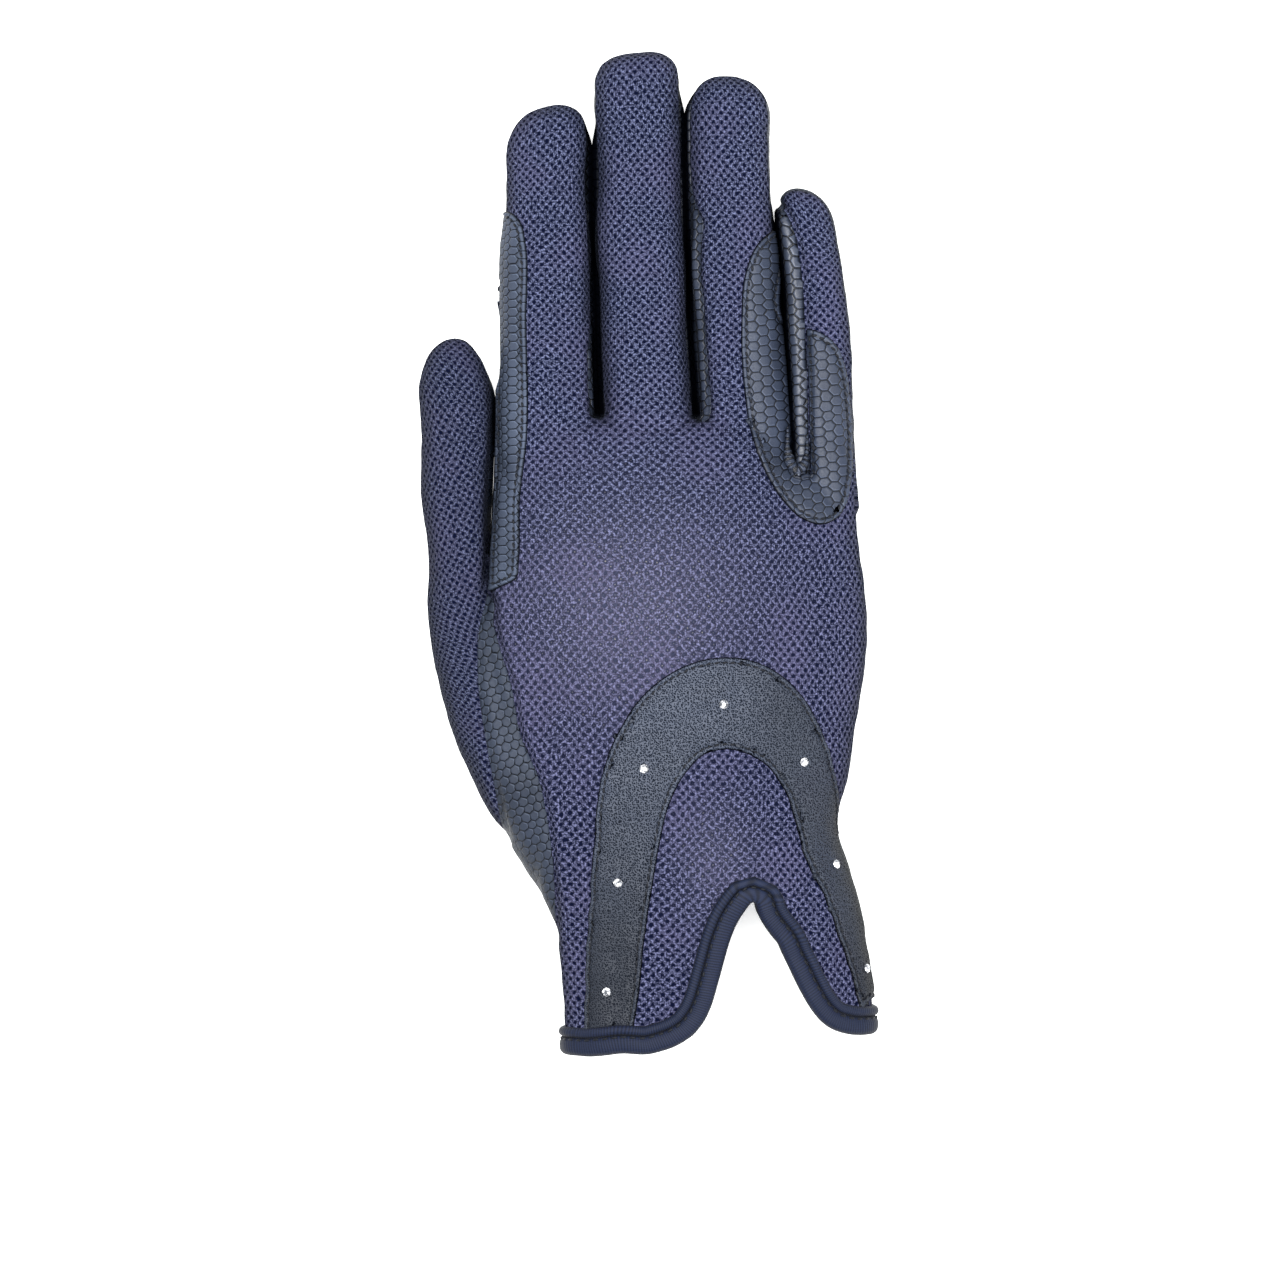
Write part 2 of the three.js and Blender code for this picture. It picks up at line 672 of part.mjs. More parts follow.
// The folded tape on the cuff's edge, inside and out, and the piping above it.
const tapeTop = tapeWidth - tapeThickness;
const pipingFoot = tapeTop + seamGap;
const pipingTop = pipingFoot + pipingWidth;
const tapeOutside = handBody(seamGap + tapeThickness).intersect(above(0, 0));
const tapeInside = handBody(-wall - seamGap - tapeThickness);
const skinRoom = handBody(seamGap).subtract(handBody(-wall - seamGap)).intersect(beyondCuff(-seamGap));
addNode(
  'cuff_tape',
  tapeOutside
    .subtract(tapeInside)
    .intersect(beyondCuff(-seamGap - tapeThickness).subtract(beyondCuff(tapeTop)))
    .subtract(skinRoom),
  ribbedTape,
);
addNode(
  'cuff_piping',
  handBody(seamGap + pipingHeight)
    .subtract(handBody(seamGap))
    .intersect(above(0, 0))
    .intersect(beyondCuff(pipingFoot).subtract(beyondCuff(pipingTop))),
  ribbedTape,
);

const horseshoeBlock = prism([...handPoints(horseshoeOuterRows), ...handPoints(horseshoeInnerRows)], ...everyHeight)
  .intersect(beyondCuff(pipingTop + seamGap))
  .intersect(aboveSeam(sideSeam, seamGap));
const horseshoe = addNode('horseshoe_band', overlay(horseshoeThickness).intersect(horseshoeBlock), smoothLeather);

// Each stone is a faceted brilliant that stands square on the leather under it.
const stoneProfile = [
  { out: 0.42, high: 0 },
  { out: 0.5, high: 0.35 },
  { out: 0.5, high: 0.5 },
  { out: 0.29, high: 1 },
];
const down = new THREE.Vector3(0, 0, -1);
stoneRows.forEach((row, i) => {
  const start = new THREE.Vector3(row.aside * halfHand, row.at * handLength, 3 * handThickness);
  const hit = new THREE.Raycaster(start, down).intersectObject(horseshoe)[0];
  const profile = [
    new THREE.Vector2(0, 0),
    ...stoneProfile.map(({ out, high }) => new THREE.Vector2(out * stoneDiameter, high * stoneHeight)),
    new THREE.Vector2(0, stoneHeight),
  ];
  const geometry = new THREE.LatheGeometry(profile, stoneFacets).rotateX(Math.PI / 2);
  geometry.applyQuaternion(new THREE.Quaternion().setFromUnitVectors(up, hit.face.normal));
  const seat = hit.point.clone().addScaledVector(hit.face.normal, seamGap);
  addNode(`stone_${i + 1}`, solidOf(geometry.translate(seat.x, seat.y, seat.z)), cutGlass);
});

// The origin is at the middle of the glove's footprint, on the table.
const box = new THREE.Box3().setFromObject(group);
const middle = box.getCenter(new THREE.Vector3());
for (const node of group.children) node.geometry.translate(-middle.x, -middle.y, -box.min.z);

export default group;
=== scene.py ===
"""A right-hand riding glove: mesh cloth back, embossed leather palm and patches, horseshoe band, bound cuff."""

import math

import bmesh
import bpy
import numpy as np
from mathutils import Matrix, Vector
from mathutils.bvhtree import BVHTree


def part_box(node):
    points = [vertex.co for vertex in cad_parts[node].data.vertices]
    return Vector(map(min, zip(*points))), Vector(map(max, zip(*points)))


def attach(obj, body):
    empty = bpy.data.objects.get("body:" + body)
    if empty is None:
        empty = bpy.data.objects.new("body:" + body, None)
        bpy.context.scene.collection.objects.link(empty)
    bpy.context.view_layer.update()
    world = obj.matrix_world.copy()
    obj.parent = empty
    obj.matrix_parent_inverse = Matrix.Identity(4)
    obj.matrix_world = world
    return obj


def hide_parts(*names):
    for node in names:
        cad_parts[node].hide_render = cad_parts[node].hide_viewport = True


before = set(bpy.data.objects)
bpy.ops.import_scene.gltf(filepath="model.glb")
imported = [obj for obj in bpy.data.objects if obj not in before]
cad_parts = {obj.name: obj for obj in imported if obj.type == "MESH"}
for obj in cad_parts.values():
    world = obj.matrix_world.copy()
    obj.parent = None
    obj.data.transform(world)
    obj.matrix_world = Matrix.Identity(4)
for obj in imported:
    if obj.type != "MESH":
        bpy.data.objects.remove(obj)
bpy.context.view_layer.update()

bl_info = {
    "name": "Riding glove",
    "version": (1, 0, 0),
    "blender": (4, 5, 0),
    "location": "View3D > Sidebar > Glove",
    "description": "Dresses a riding glove in mesh cloth, embossed leather, a stitched cuff and stones",
    "category": "Object",
}

# All the shaping is in millimetres in the hand's own frame: the cuff's edge is at y = 0 and
# the hand's middle line at x = 0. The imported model's origin lies here in that frame.
ORIGIN = np.array([-6.699, 110.803, 0.0])
MM = 1000  # in a metre
HALF_HAND = 43.0
HAND_LENGTH = 142.0
GLOVE_LENGTH = 226.2
THICKNESS = 29.0
FLAT = 0.7  # how far the forms sink below the floor before their undersides are levelled
HAND_SQUARENESS = 2.35
LITTLE_DROP = 10.4  # how much lower the fork beside the little finger lies
HOLE_PITCH = 1.875  # of the mesh cloth's chart, along a row of holes

HAND_AT = np.array([-0.12, -0.08, 0.17, 0.26, 0.34, 0.418, 0.489, 0.559, 0.664, 0.75, 0.844, 0.916, 0.962, 0.988, 1.0])
HAND_LEFT = [-0.59, -0.595, -0.655, -0.75, -0.87, -0.955, -1.0, -1.03, -1.035, -1.0, -0.975, -0.95, -0.94, -0.93, -0.92]
HAND_RIGHT = [1.08, 1.065, 0.985, 0.91, 0.845, 0.905, 0.94, 0.985, 1.0, 1.0, 0.965, 0.944, 0.93, 0.92, 0.91]
HAND_THICK = [0.78, 0.78, 0.81, 0.86, 0.93, 0.99, 1.02, 1.02, 1.0, 0.97, 0.91, 0.83, 0.72, 0.56, 0.34]
HAND_LIFT = [0.13, 0.13, 0.125, 0.11, 0.06, 0.01, 0.0, 0.0, 0.0, 0.0, 0.0, 0.0, 0.02, 0.08, 0.17]

# aside, lean in degrees, bow, length, width at the root and tip, thickness, depth of the
# rounded tip, its squareness, and how much further its right side reaches than its left.
FINGERS = {
    "index": (-30.2, 0.1, 0.0, 72.0, 21.6, 18.4, 18.6, 10.5, 2.4, 2.0),
    "middle": (-6.6, -2.0, -0.6, 84.2, 19.8, 19.2, 18.8, 8.0, 2.9, 0.4),
    "ring": (15.6, -2.9, -0.9, 79.4, 20.2, 18.2, 18.2, 10.5, 2.3, -0.8),
    "little": (33.4, -4.4, 0.9, 52.9, 14.6, 13.2, 16.6, 9.5, 2.5, -2.3),
}
FINGER_AT = [0.0, 0.26, 0.52, 0.77, 1.0]
FINGER_SWELL = [1.0, 0.985, 1.02, 0.975, 1.0]
FINGER_LIFT = [0.0, 0.02, 0.03, 0.01, 0.0]
FINGER_ROOT = 22.0

THUMB_FOOT, THUMB_LENGTH, THUMB_WIDTH, THUMB_THICK, THUMB_DEPTH = 44.0, 116.0, 16.8, 18.5, 16.4
THUMB_SIDE_SEAM = 7.8
THUMB_AT = [-0.16, -0.08, 0.0, 0.1, 0.19, 0.3, 0.385, 0.47, 0.56, 0.7, 0.81, 0.9]
THUMB_ASIDE = [-0.43, -0.56, -0.655, -0.765, -0.865, -0.975, -1.07, -1.145, -1.164, -1.177, -1.18, -1.188]
THUMB_WIDE = [0.7, 0.9, 1.12, 1.4, 1.47, 1.42, 1.25, 0.97, 0.88, 0.965, 1.01, 0.96]
THUMB_HIGH = [0.85, 1.05, 1.22, 1.3, 1.28, 1.2, 1.1, 0.98, 0.95, 1.0, 0.98, 0.92]
# The seam round the thumb's root and the fold beside the index finger, in millimetres.
THUMB_SEAM = [(30.0, -52.0), (38.0, -43.0), (44.0, -39.6), (49.4, -40.6), (54.3, -41.4), (65.3, -43.4), (77.3, -45.3),
              (85.8, -45.8), (94.3, -45.4), (100.0, -44.0), (109.0, -43.4), (125.0, -42.7), (142.0, -42.2),
              (153.0, -42.2), (170.0, -42.2)]

# Lines drawn on the glove as it is seen from above, in shares of half the hand's width and of
# the hand's length.
LEATHER_EDGE = [(-0.59, -0.3), (-0.64, 0.0), (-0.66, 0.09), (-0.655, 0.235), (-0.69, 0.348), (-0.74, 0.418),
                (-0.837, 0.489), (-0.88, 0.559), (-0.949, 0.63), (-0.982, 0.664), (-1.0, 0.71), (-1.3, 0.76)]
INDEX_PATCH = [(-1.4, 1.345), (-0.944, 1.337), (-0.886, 1.332), (-0.833, 1.313), (-0.809, 1.28), (-0.805, 1.16),
               (-0.803, 0.963), (-0.837, 0.867), (-0.842, 0.768), (-0.853, 0.74), (-0.94, 0.725), (-1.4, 0.69)]
SADDLE_PATCH = [(0.62, 1.345), (0.56, 1.315), (0.495, 1.301), (0.426, 1.28), (0.36, 1.231), (0.34, 1.158),
                (0.36, 1.029), (0.398, 0.963), (0.467, 0.907), (0.549, 0.867), (0.656, 0.835), (0.763, 0.825),
                (0.842, 0.835), (0.895, 0.858), (0.923, 0.899), (0.93, 0.97), (0.916, 1.029), (0.895, 1.077),
                (0.842, 1.118), (0.763, 1.137), (0.688, 1.145), (0.6, 1.15), (0.6, 1.3)]
FORK_LOOP = [(0.585, 0.985), (0.588, 0.94), (0.607, 0.922), (0.64, 0.914), (0.672, 0.922), (0.69, 0.942),
             (0.694, 0.97)]
ROLL_SEAM = [(126.0, 30.6), (133.5, 30.3), (144.0, 30.0), (152.6, 29.8), (162.8, 29.3), (170.2, 29.0), (178.0, 28.2),
             (183.8, 27.2), (188.5, 25.4), (193.0, 22.5)]
HORSESHOE_OUTER = [(-0.5, -0.1), (-0.5, 0.035), (-0.479, 0.149), (-0.447, 0.292), (-0.42, 0.387), (-0.361, 0.463),
                   (-0.265, 0.52), (-0.11, 0.572), (0.051, 0.6), (0.238, 0.612), (0.361, 0.609), (0.522, 0.588),
                   (0.645, 0.555), (0.741, 0.51), (0.81, 0.463)]
HORSESHOE_INNER = [(-0.24, -0.1), (-0.227, 0.036), (-0.195, 0.102), (-0.147, 0.215), (-0.094, 0.321), (-0.045, 0.377),
                   (0.035, 0.425), (0.142, 0.457), (0.254, 0.465), (0.361, 0.458), (0.457, 0.441), (0.551, 0.402),
                   (0.612, 0.349), (0.677, 0.292), (0.757, 0.235), (0.832, 0.178), (0.896, 0.126), (0.949, 0.06),
                   (1.0, -0.02)]
STONES = [(-0.377, 0.0745), (-0.318, 0.251), (-0.179, 0.434), (0.241, 0.537), (0.669, 0.444), (0.843, 0.279),
          (1.008, 0.11)]

# The camera looks straight down on this place and sees this width at this level, in metres.
CAMERA_OVER, SEEN_WIDTH, SEEN_LEVEL = (-0.00193, -0.01995), 0.2944, 0.014

# The cuff's free edge from its left foot over the notch to its right foot, in millimetres.
CUFF_EDGE = [(-27.0, -1.0), (-26.3, -2.6), (-25.0, -3.9), (-22.0, -4.4), (-17.4, -4.1), (-13.2, -3.5), (-6.3, -3.5),
             (-3.6, -2.8), (-0.8, -1.8), (1.9, -0.3), (3.4, 0.8), (4.8, 2.4), (6.2, 4.4), (7.5, 7.2), (8.9, 11.7),
             (10.3, 16.8), (11.8, 22.2), (13.2, 25.8), (14.5, 28.1), (15.8, 29.9), (17.1, 31.4), (18.5, 27.8),
             (20.0, 25.3), (21.5, 23.3), (22.9, 21.6), (24.2, 18.6), (25.6, 15.8), (27.0, 12.8), (28.4, 10.1),
             (29.8, 7.6), (31.2, 5.6), (32.6, 4.0), (34.0, 2.8), (35.3, 2.0), (38.1, 1.0), (40.9, 0.5), (43.6, 0.5),
             (45.2, 1.0), (46.2, 2.4), (46.6, 4.0)]


# ---------------------------------------------------------------- settings


def size_setting(name, description, default, low, high):
    return bpy.props.FloatProperty(
        name=name, description=description, default=default, min=low, max=high, precision=5, unit="LENGTH")


def colour_setting(name, description, default):
    return bpy.props.FloatVectorProperty(
        name=name, description=description, default=default, min=0, max=1, size=3, subtype="COLOR")


class CutSettings(bpy.types.PropertyGroup):
    cloth: size_setting("Cloth", "Thickness of the cloth and leather", 0.001, 0.0004, 0.003)
    patch: size_setting("Patch", "How far a patch stands off the cloth", 0.0008, 0.0002, 0.002)
    seam: size_setting("Seam", "How deep the cloth dips at a seam", 0.0006, 0.0, 0.002)
    stitch: size_setting("Stitch", "From one stitch of a patch to the next", 0.0018, 0.0008, 0.005)
    tape: size_setting("Tape", "Width of the folded tape at the cuff", 0.0042, 0.002, 0.008)
    piping: size_setting("Piping", "Thickness of the rolled piping above the tape", 0.0023, 0.001, 0.004)
    stone: size_setting("Stone", "Diameter of a stone", 0.0021, 0.001, 0.004)
    detail: size_setting("Detail", "Size of a face of the cloth", 0.00085, 0.0006, 0.003)


class FinishSettings(bpy.types.PropertyGroup):
    yarn: colour_setting("Yarn", "Colour of the mesh cloth's yarn", (0.079, 0.09, 0.157))
    # The holes' colour is painted shade: the glove's dark inside seen through them.
    hole: colour_setting("Holes", "Colour seen through the mesh cloth's holes", (0.002, 0.003, 0.012))
    leather: colour_setting("Leather", "Colour of the embossed leather", (0.0185, 0.025, 0.043))
    smooth_leather: colour_setting("Smooth leather", "Colour of the horseshoe", (0.024, 0.031, 0.049))
    tape: colour_setting("Tape", "Colour of the cuff's tape and piping", (0.0055, 0.0085, 0.0215))
    thread: colour_setting("Thread", "Colour of the sewing thread", (0.002, 0.003, 0.006))
    hole_pitch: size_setting("Hole pitch", "From hole to hole along a row of the mesh cloth", 0.001875, 0.001, 0.005)
    row_pitch: size_setting("Row pitch", "From one row of holes to the next", 0.001, 0.0005, 0.003)
    cell: size_setting("Cell", "Width of a six-sided cell of the embossed leather", 0.00234, 0.001, 0.006)


class StageSettings(bpy.types.PropertyGroup):
    floor: colour_setting("Floor", "Colour of the floor", (0.93, 0.94, 0.93))
    light: bpy.props.FloatProperty(
        name="Light", description="Strength of the overhead light", default=52.0, min=0, max=200)
    sky: bpy.props.FloatProperty(
        name="Surrounding light", description="Strength of the light from all round", default=0.35, min=0, max=5)
    height: size_setting("Camera height", "Height of the camera above the floor", 1.2, 0.3, 5)


# ---------------------------------------------------------------- curves and fields


def smooth(t):
    s = np.clip(t, 0.0, 1.0)
    return s * s * (3 - 2 * s)


def times(colour, share):
    return tuple(c * share for c in colour)


def unit(rows):
    return rows / np.linalg.norm(rows, axis=1)[:, None]


def travelled(points):
    """How far along a run of points each of them lies."""
    return np.concatenate([[0], np.cumsum(np.linalg.norm(np.diff(points, axis=0), axis=1))])


def spline(xs, ys, x):
    """A smooth curve through the rows of a table."""
    xs, ys = np.asarray(xs, float), np.asarray(ys, float)
    slope = np.gradient(ys, xs)
    x = np.clip(x, xs[0], xs[-1])
    i = np.clip(np.searchsorted(xs, x) - 1, 0, len(xs) - 2)
    h = xs[i + 1] - xs[i]
    t = (x - xs[i]) / h
    return ((2 * t**3 - 3 * t**2 + 1) * ys[i] + (t**3 - 2 * t**2 + t) * h * slope[i]
            + (3 * t**2 - 2 * t**3) * ys[i + 1] + (t**3 - t**2) * h * slope[i + 1])


def spline_path(points, step, closed=False):
    """Evenly spaced points on a smooth curve through the given ones."""
    points = np.asarray(points, float)
    if closed:
        points = np.vstack([points[-3:], points, points[:3]])
    lengths = travelled(points)
    start, end = (lengths[3], lengths[-3]) if closed else (0, lengths[-1])
    fine = np.linspace(start, end, int((end - start) / 0.1) + 2)
    path = np.stack([spline(lengths, column, fine) for column in points.T], 1)
    travel = travelled(path)
    even = np.linspace(0, travel[-1], max(2, int(round(travel[-1] / step)) + 1))
    path = np.stack([np.interp(even, travel, column) for column in path.T], 1)
    return path[:-1] if closed else path


def drawn(rows):
    """A drawn line in millimetres."""
    return np.array([(aside * HALF_HAND, at * HAND_LENGTH) for aside, at in rows])


def inside_outline(points, outline):
    """Distance inside a closed outline, negative outside it."""
    result = np.empty(len(points))
    a = outline
    b = np.roll(outline, -1, axis=0)
    ab = b - a
    long = np.maximum((ab**2).sum(1), 1e-9)
    for first in range(0, len(points), 4000):
        p = points[first:first + 4000, None, :2]
        t = np.clip(((p - a) * ab).sum(2) / long, 0, 1)
        near = np.sqrt((((p - a) - t[..., None] * ab)**2).sum(2).min(1))
        x, y = p[..., 0], p[..., 1]
        spans = (a[:, 1] > y) != (b[:, 1] > y)
        cross = a[:, 0] + (y - a[:, 1]) * ab[:, 0] / np.where(ab[:, 1] == 0, 1e-9, ab[:, 1])
        odd = (spans & (x < cross)).sum(1) % 2 == 1
        result[first:first + 4000] = np.where(odd, near, -near)
    return result


class Tube:
    """A rounded tube on a straight axis, with its middle, width and height given along it."""

    def __init__(self, root, lean, along, aside, wide, high, middle, squareness, reach):
        self.root = np.array(root)
        self.ahead = np.array([math.sin(lean), math.cos(lean)])
        self.across = np.array([math.cos(lean), -math.sin(lean)])
        self.along, self.aside, self.wide, self.high, self.middle = along, aside, wide, high, middle
        self.squareness, self.reach = squareness, reach
        ahead = np.concatenate([[0], np.cumsum(np.hypot(np.diff(along), np.diff(high)))])
        self.travel = ahead - np.interp(0, along, ahead)
        self.turns = np.linspace(-np.pi, np.pi, 241)
        c, s = self.rounded(self.turns)
        x, z = wide[:, None] * c, high[:, None] * s
        steps = np.hypot(np.diff(x), np.diff(z))
        arc = np.concatenate([np.zeros((len(along), 1)), np.cumsum(steps, axis=1)], 1)
        top = arc[:, np.argmin(np.abs(self.turns - np.pi / 2))]
        self.arcs = top[:, None] - arc
        self.round = arc[:, -1]

    def at(self, v, values):
        return np.interp(v, self.along, values)

    def top(self, x, y, widest):
        """Height of the upper side over places seen from above."""
        c = np.clip((x - self.at(y, self.aside)) / self.at(y, self.wide), -widest, widest)
        share = (1 - np.abs(c)**self.squareness) ** (1 / self.squareness)
        return self.at(y, self.middle) + self.at(y, self.high) * share

    def rounded(self, turn):
        power = 2 / self.squareness
        c, s = np.cos(turn), np.sin(turn)
        return np.sign(c) * np.abs(c)**power, np.sign(s) * np.abs(s)**power

    def surface(self, turn, place):
        """Points at a turn round the tube and a place along it, both shares."""
        row = place * (len(self.along) - 1)
        at = lambda values: np.interp(row, np.arange(len(values)), values)
        c, s = self.rounded(2 * np.pi * turn)
        v, a = at(self.along), at(self.aside) + at(self.wide) * c
        xy = self.root + a[:, None] * self.across + (v + self.reach(v, a))[:, None] * self.ahead
        return np.column_stack([xy, at(self.middle) + at(self.high) * s])

    def unrolled(self, co, from_top=True):
        """Where a point lies on the cloth as it was cut: across and along, in millimetres."""
        flat = co[:, :2] - self.root
        a, v = flat @ self.across, flat @ self.ahead
        v = v - self.reach(v, a)
        wide, high = np.maximum(self.at(v, self.wide), 0.2), np.maximum(self.at(v, self.high), 0.2)
        c = (a - self.at(v, self.aside)) / wide
        s = (co[:, 2] - self.at(v, self.middle)) / high
        power = self.squareness / 2
        turn = np.arctan2(np.sign(s) * np.abs(s)**power, np.sign(c) * np.abs(c)**power)
        column = (turn + np.pi) / (2 * np.pi) * (len(self.turns) - 1)
        i = np.clip(column.astype(int), 0, len(self.turns) - 2)
        row = np.clip(self.at(v, np.arange(len(self.along))).astype(int), 0, len(self.along) - 1)
        part = column - i
        arc = self.arcs[row, i] * (1 - part) + self.arcs[row, i + 1] * part
        if from_top:
            arc = np.where(turn < -np.pi / 2, arc - self.round[row], arc)
        else:
            half = self.round[row] / 2
            arc = np.where(turn < -np.pi / 2, -(arc - half), np.where(arc > half, arc, half - arc))
        return np.column_stack([a - c * wide + arc, self.at(v, self.travel)])


def front_drop(x):
    return -LITTLE_DROP * smooth((x - 15.6) / 10.5)


TIP_RISE = np.sin(np.linspace(0, np.pi / 2, 26)[1:])


def tip_share(shaft, squareness):
    """Shares of the full width: all of it along the shaft, then less and less to the tip."""
    return np.concatenate([np.ones(shaft), np.maximum(0, 1 - TIP_RISE**squareness) ** (1 / squareness)])


def hand_tube():
    at = np.linspace(HAND_AT[0], 1.0, 200)
    left, right = (spline(HAND_AT, rows, at) * HALF_HAND for rows in (HAND_LEFT, HAND_RIGHT))
    thick, lift = (spline(HAND_AT, rows, at) * THICKNESS for rows in (HAND_THICK, HAND_LIFT))
    return Tube((0, 0), 0, at * HAND_LENGTH, (left + right) / 2, (right - left) / 2, thick / 2,
                thick / 2 + lift - FLAT, HAND_SQUARENESS,
                lambda v, a: smooth((v / HAND_LENGTH - 0.6) / 0.4) * front_drop(a))


def finger_tube(finger):
    aside, lean, bow, length, root_wide, tip_wide, thick, depth, tip_square, tilt = FINGERS[finger]
    shaft = length - depth
    line = np.concatenate([[-FINGER_ROOT], np.linspace(-10, shaft, 90)])
    share = tip_share(len(line), tip_square)
    along = np.concatenate([line, shaft + depth * TIP_RISE])
    part = np.clip(along / shaft, 0, 1)
    root = smooth(-along / FINGER_ROOT)
    swell = spline(FINGER_AT, FINGER_SWELL, part) - 0.12 * root
    lift = spline(FINGER_AT, FINGER_LIFT, part) + 0.09 * root
    wide = (root_wide + (tip_wide - root_wide) * part) * swell
    high = thick * (1.04 - 0.1 * part)
    return Tube((aside, HAND_LENGTH), math.radians(lean), along, bow * np.sin(np.pi * part),
                wide / 2 * share, high / 2 * share, high / 2 + lift * thick - FLAT, 2.7,
                lambda v, a: tilt * np.clip(a / (tip_wide / 2), -1.2, 1.2) * smooth((v - shaft + 12) / 12))


def thumb_tube():
    at = np.linspace(THUMB_AT[0], 0.868, 120)
    x = spline(THUMB_AT, THUMB_ASIDE, at) * HALF_HAND
    y = THUMB_FOOT + at * THUMB_LENGTH
    foot = np.array([THUMB_ASIDE[2] * HALF_HAND, THUMB_FOOT])
    lean = math.atan2(x[-1] - foot[0], y[-1] - foot[1])
    ahead = np.array([math.sin(lean), math.cos(lean)])
    flat = np.column_stack([x, y]) - foot
    line, aside = flat @ ahead, flat @ np.array([ahead[1], -ahead[0]])
    share = tip_share(len(at), 2.05)
    end = lambda values: np.concatenate([values, np.full(len(TIP_RISE), values[-1])])
    high = end(spline(THUMB_AT, THUMB_HIGH, at)) * THUMB_THICK / 2
    wide = end(spline(THUMB_AT, THUMB_WIDE, at)) * THUMB_WIDTH / 2
    along = np.concatenate([line, line[-1] + THUMB_DEPTH * TIP_RISE])
    # The tip keeps the way the last stretch of the thumb points.
    bend = math.tan(math.atan2(x[-1] - x[-12], y[-1] - y[-12]) - lean)
    aside = np.concatenate([aside, aside[-1] + THUMB_DEPTH * TIP_RISE * bend])
    return Tube(foot, lean, along, aside, wide * share, high * share, high - FLAT, 2.25,
                lambda v, a: -2.4 * np.clip(a / 8, -1.2, 1.2) * smooth((v - line[-1] + 10) / 18))


def cloth_tube():
    """The hand without its rounded front, for laying out the cloth."""
    tube = hand_tube()
    flat = np.searchsorted(tube.along, 0.86 * HAND_LENGTH)
    row = np.minimum(np.arange(len(tube.along)), flat)
    along = tube.along.copy()
    along[-1] = 260.0
    return Tube((0, 0), 0, along, tube.aside[row], tube.wide[row], tube.high[row], tube.middle[row],
                HAND_SQUARENESS, lambda v, a: 0 * v)


TUBES = {"hand": hand_tube(), **{finger: finger_tube(finger) for finger in FINGERS}, "thumb": thumb_tube(),
         "cloth": cloth_tube()}


def finger_side(finger, y, sign):
    """Where a finger's left or right side lies at a height up the glove."""
    tube = TUBES[finger]
    v = np.clip((y - HAND_LENGTH) / tube.ahead[1], -6, FINGERS[finger][3])
    middle = tube.root[0] + v * tube.ahead[0] + np.interp(v, tube.along, tube.aside)
    return middle + sign * np.interp(v, tube.along, tube.wide)


def gap_lines(y):
    """The middles of the three gaps between the fingers at a height up the glove."""
    names = list(FINGERS)
    return [(finger_side(a, y, 1) + finger_side(b, y, -1)) / 2 for a, b in zip(names, names[1:])]


def finger_zone(co):
    """Which finger each point belongs to, from 0 for the index finger."""
    return sum((co[:, 0] > line).astype(int) for line in gap_lines(co[:, 1]))


def gap_ends(gap):
    """How far up the glove a gap's fork and the tips of the fingers beside it lie."""
    left, right = list(FINGERS.values())[gap:gap + 2]
    return HAND_LENGTH - (LITTLE_DROP if gap == 2 else 0), HAND_LENGTH + left[3], HAND_LENGTH + right[3]


def arc_of(x):
    """How far across the cloth a place on the back at the fingers' roots lies."""
    tube = TUBES["cloth"]
    return tube.unrolled(np.array([[x, HAND_LENGTH, tube.top(x, HAND_LENGTH, 0.99)]]))[0, 0]


# The knit is drawn out over the knuckles, so its holes lie further apart there.
KNIT_ACROSS = np.arange(-90, 90, 0.5)
KNIT_PITCH = 1.85 + 0.55 * np.exp(-((KNIT_ACROSS + 10) / 27)**2)
KNIT_HOLES = np.cumsum(HOLE_PITCH / KNIT_PITCH) * 0.5
KNIT_ALONG = np.arange(-30, 260, 0.5)
KNIT_RISE = np.interp(KNIT_ALONG, [0, 40, 60, 105, 130, 150, 180, 220], [2.25, 2.3, 2.4, 2.5, 2.06, 2.0, 2.06, 2.3])
KNIT_ROWS = np.cumsum(2.0 / KNIT_RISE) * 0.5


def cloth_chart(co, from_top=True, knit=False):
    """The cloth's own coordinates: the hand's below the forks, each finger's above them."""
    # Over the knuckles the cloth is laid out by how far across the hand it lies, not by its height.
    tube = TUBES["cloth"]
    skin = tube.top(co[:, 0], co[:, 1], 0.985)
    level = co.copy()
    level[:, 2] += (skin - co[:, 2]) * smooth((co[:, 1] - 103) / 12) * smooth((co[:, 2] - 8) / 3)
    chart = tube.unrolled(level, from_top)
    zone = finger_zone(co)
    if knit:
        chart[:, 0] = np.interp(chart[:, 0], KNIT_ACROSS, KNIT_HOLES)
    for k, finger in enumerate(FINGERS):
        own = TUBES[finger].unrolled(co, from_top)
        middle = arc_of(FINGERS[finger][0])
        own[:, 1] += HAND_LENGTH
        if knit:
            own[:, 0] *= HOLE_PITCH / np.interp(own[:, 1], [138, 165, 185, 220], [2.25, 2.02, 1.93, 1.85])
            middle = np.interp(middle, KNIT_ACROSS, KNIT_HOLES)
        own[:, 0] += middle
        fork = HAND_LENGTH + front_drop(FINGERS[finger][0])
        share = np.where(zone == k, smooth((co[:, 1] - fork + 1) / 9), 0)[:, None]
        chart = chart * (1 - share) + own * share
    if knit:
        chart[:, 1] = np.interp(chart[:, 1], KNIT_ALONG, KNIT_ROWS)
    return chart


def plan_chart(co, lean=0.0):
    """Coordinates read off from straight above, running on down the outer fingers' sides."""
    x, y, z = co.T
    x = x + 0.8 * np.maximum(0, 16 - z) * (smooth((x - 34) / 3) - smooth((-36 - x) / 3))
    c, s = math.cos(lean), math.sin(lean)
    return np.column_stack([x * c + y * s, y * c - x * s])


